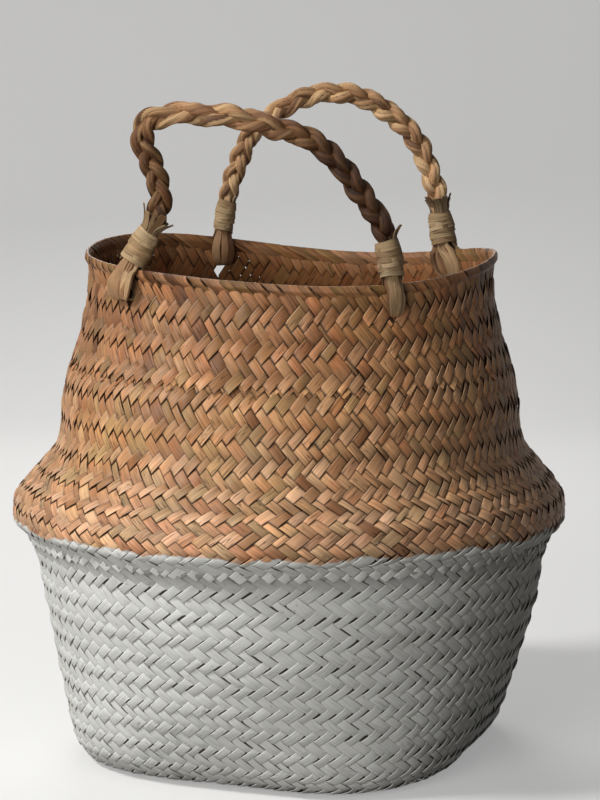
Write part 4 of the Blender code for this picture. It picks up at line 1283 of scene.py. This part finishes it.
def root_ribbons(end, rng):
    """Leaves through the eyelet: control points in the frames of the binding and of the wall."""
    angle = end.handle.angles[end.far]
    foot, along, _, _ = end.at(np.array(BINDING_FOOT))
    inner, _, _, _ = end.at(np.array(BINDING_FOOT + 0.007))
    _, outward, sideways = rim_middle(angle, 0)
    square = square_to(outward, along)
    level = np.cross(along, square) * np.sign(np.cross(along, square) @ sideways)
    fans = np.linspace(-1, 1, end.leaves) + rng.uniform(-0.16, 0.16, end.leaves)
    aside = view_right * end.sweep
    lines = []
    broads = []
    for fan in fans:
        inside_fan = fan + rng.uniform(-0.15, 0.15)
        path = []
        for side, share in ((1, min(max(fan, -1.05), 1.05)), (-1, min(max(inside_fan, -1.05), 1.05))):
            radius = end.foot_radius
            room = math.sqrt(max(0.1, 1 - 0.85 * share**2))
            half = [inner + level * share * radius * 0.6 + square * side * radius * room * 0.55,
                    foot + level * share * radius * 0.8 + square * side * radius * room * 0.72]
            for drop, spread, bulge in ((0.0035, 0.84, 0.0052), (0.0095, 1.0, 0.0056),
                                        (0.0155, 0.86, 0.0048), (0.0195, 0.5, 0.0030)):
                spot, _, _ = rim_middle(angle, drop)
                half.append(spot + sideways * share * spread * end.fan + aside * min(1, drop / 0.012)
                            + outward * side * (bulge * (0.55 + 0.45 * room) + 0.0006))
            path += half if side > 0 else half[::-1]
            if side > 0:
                path.append(rim_middle(angle, EYELET_DROP)[0] + sideways * fan * 0.0012 + aside * 0.5)
        lines.append(smooth_line(path, ROOT_STEPS)[0])
        turn = fan * math.radians(38)
        inwards = np.linspace(1, -1, ROOT_STEPS)[:, None]
        broads.append(sideways * math.cos(turn) - outward * inwards * math.sin(turn))
    share = np.linspace(-1, 1, ROOT_STEPS)
    width = ROOT_LEAF_WIDTH * end.fan / 0.0085 * (0.62 + 0.5 * np.sin(math.pi * np.abs(share)) ** 0.8)
    width = width * rng.uniform(0.8, 1.15, end.leaves)[:, None]
    colour = draw_colours(HANDLE_PALETTE, end.leaves, rng) * end.shade
    return carried_ribbon(np.array(lines), np.array(broads), width, ROOT_LEAF_THICKNESS,
                          rng.uniform(0, 90, end.leaves), colour)


def ribbon_mesh(name, points, attributes):
    quads, caps = ribbon_faces(np.ones(points.shape[:2], bool), points.shape[2])
    return array_mesh(name, points, quads, caps, **attributes)


for number, end in enumerate(ends):
    points, attributes = root_ribbons(end, np.random.default_rng(71 + number))
    name = f"{end.name}_fan"
    fan = piece(name, ribbon_mesh(name, points, attributes), twisted_leaf)
    bead = rim_middle(end.handle.angles[end.far], BORDER_HALF_HEIGHT)[0]
    tuple(end.at(np.array(BINDING_FOOT))[0])
    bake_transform(fan)
    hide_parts(f"{end.name}_root")

# %% [markdown]
# ## Leaf ends
# Above a binding the leaves' cut ends stick out, from a few stubs to a whole crown. Each is a short flat
# blade that starts under the tape and leans away from the handle.

# %% Cut ends above the bindings
TUFT_STEPS = 7
TUFT_LEAF_WIDTH = 0.005


def tuft_ribbons(end, rng):
    """Blades round the binding's top: each leans out more and more towards its tip."""
    turns = np.linspace(*end.tuft_from, end.tuft, endpoint=end.tuft_from[1] < 6) + rng.uniform(-0.2, 0.2, end.tuft)
    reach = end.tuft_length * rng.uniform(0.65, 1.15, end.tuft)
    lean = rng.uniform(0.25, 0.75, end.tuft)
    top = BINDING_FOOT + BINDING_LENGTH - 0.004
    centre, along, across, through = end.at(np.array(top))
    share = np.linspace(0, 1, TUFT_STEPS)
    outward = across * np.cos(turns)[:, None] + through * np.sin(turns)[:, None]
    rise = 0.004 + reach[:, None] * share
    away = end.top_radius * 0.86 + reach[:, None] * lean[:, None] * share**1.6
    line = centre + along * rise[..., None] * np.ones(3) + outward[:, None] * away[..., None]
    line[:, 0] -= along * 0.004
    broad = np.cross(along, outward)[:, None] + 0 * line
    width = TUFT_LEAF_WIDTH * rng.uniform(0.6, 1.25, end.tuft)[:, None] * (1 - 0.25 * share**2)
    colour = draw_colours(HANDLE_PALETTE + STRAW_PALETTE, end.tuft, rng) * end.shade
    return carried_ribbon(line, broad, width, ROOT_LEAF_THICKNESS, rng.uniform(0, 90, end.tuft), colour)


for number, end in enumerate(ends):
    points, attributes = tuft_ribbons(end, np.random.default_rng(81 + number))
    name = f"{end.name}_leaf_ends"
    made = piece(name, ribbon_mesh(name, points, attributes), twisted_leaf)
    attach(made, f"{end.handle.name}_handle")
    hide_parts(f"{end.name}_tuft")
print("leaf ends:", [end.tuft for end in ends])

# %% [markdown]
# ## Base
# The basket starts at its base, a flat twill mat in the same strips. It is a piece of plane weave, cut to
# the rounded square of the foot, and the bowl's first strips curl in over its edge.

# %% Weave the base
BASE_PITCH = 0.0062
BASE_LEVEL = 0.0017
BASE_GAP = 0.0022


def base_strips(way, look):
    """Strips along one way of the mat: the same float shape, on a plane grid turned with the corners."""
    rng = np.random.default_rng(look.seed)
    reach = int(BASE_RADIUS * (1 + BASE_CORNER_SHARE) / BASE_PITCH) + 1
    number = np.arange(-reach, reach + 1)
    half = np.arange(-reach // 2 - 1, reach // 2 + 2)
    crossed = 2 * half[None, :, None] + STEP_OFFSETS + number[:, None, None] + (1 if way == 0 else 0)
    over = np.where(half % 2 == 0, 1.0, -1.0)[None, :, None] * (1 if way == 0 else -1)
    shape = np.broadcast_to(float_shape(STEP_OFFSETS) * over, crossed.shape).reshape(len(number), -1)
    crossed = crossed.reshape(len(number), -1)
    across = number[:, None, None] + 0.5 + SECTION_ACROSS * look.width
    along = np.broadcast_to(crossed[..., None], (*crossed.shape, len(SECTION_ACROSS)))
    across = np.broadcast_to(across, along.shape)
    u, v = (across, along) if way == 0 else (along, across)
    turn = BASE_CORNER_TURN
    x = (u * math.cos(turn) - v * math.sin(turn)) * BASE_PITCH
    y = (u * math.sin(turn) + v * math.cos(turn)) * BASE_PITCH
    lift = look.over * shape[..., None] + look.crown * SECTION_CROWN * 0.6 + LEAF_THICKNESS * SECTION_UP
    points = np.stack([x, y, BASE_LEVEL - lift], -1)
    middle = points.mean(2)
    angle = np.arctan2(middle[..., 1], middle[..., 0])
    edge = BASE_RADIUS * (1 + BASE_CORNER_SHARE * np.cos(4 * (angle - BASE_CORNER_TURN))) - BASE_GAP
    present = np.hypot(middle[..., 0], middle[..., 1]) < edge
    leaf = np.stack(np.broadcast_arrays(SECTION_ACROSS * 6, along * 6.2, rng.uniform(0, 90, len(number))[:, None, None]), -1)
    # The base's floats get the same painted edge highlight and shadow.
    lie = np.stack(np.broadcast_arrays(shape[..., None] * 0.5 + 0.5, EDGE_HIGHLIGHT_AND_SHADE[way],
                                       (SECTION_UP > 0) * 1.0), -1)
    dye = draw_colours(look.palette, len(number), rng)
    return points, present, {"leaf": leaf, "lie": lie, "dye": np.broadcast_to(dye[:, None, None], points.shape)}


for way, lean in ((0, "long"), (1, "cross")):
    points, present, attributes = base_strips(way, Look(0.0005, 0.0005, 0, 0.00015, 0, 0, 0.96, 91 + way))
    quads, caps = ribbon_faces(present, len(SECTION_ACROSS))
    name = f"base_strips_{lean}"
    made = piece(name, array_mesh(name, points, quads, caps, **attributes), painted_leaf)
    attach(made, "bowl")
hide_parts("base_mat")
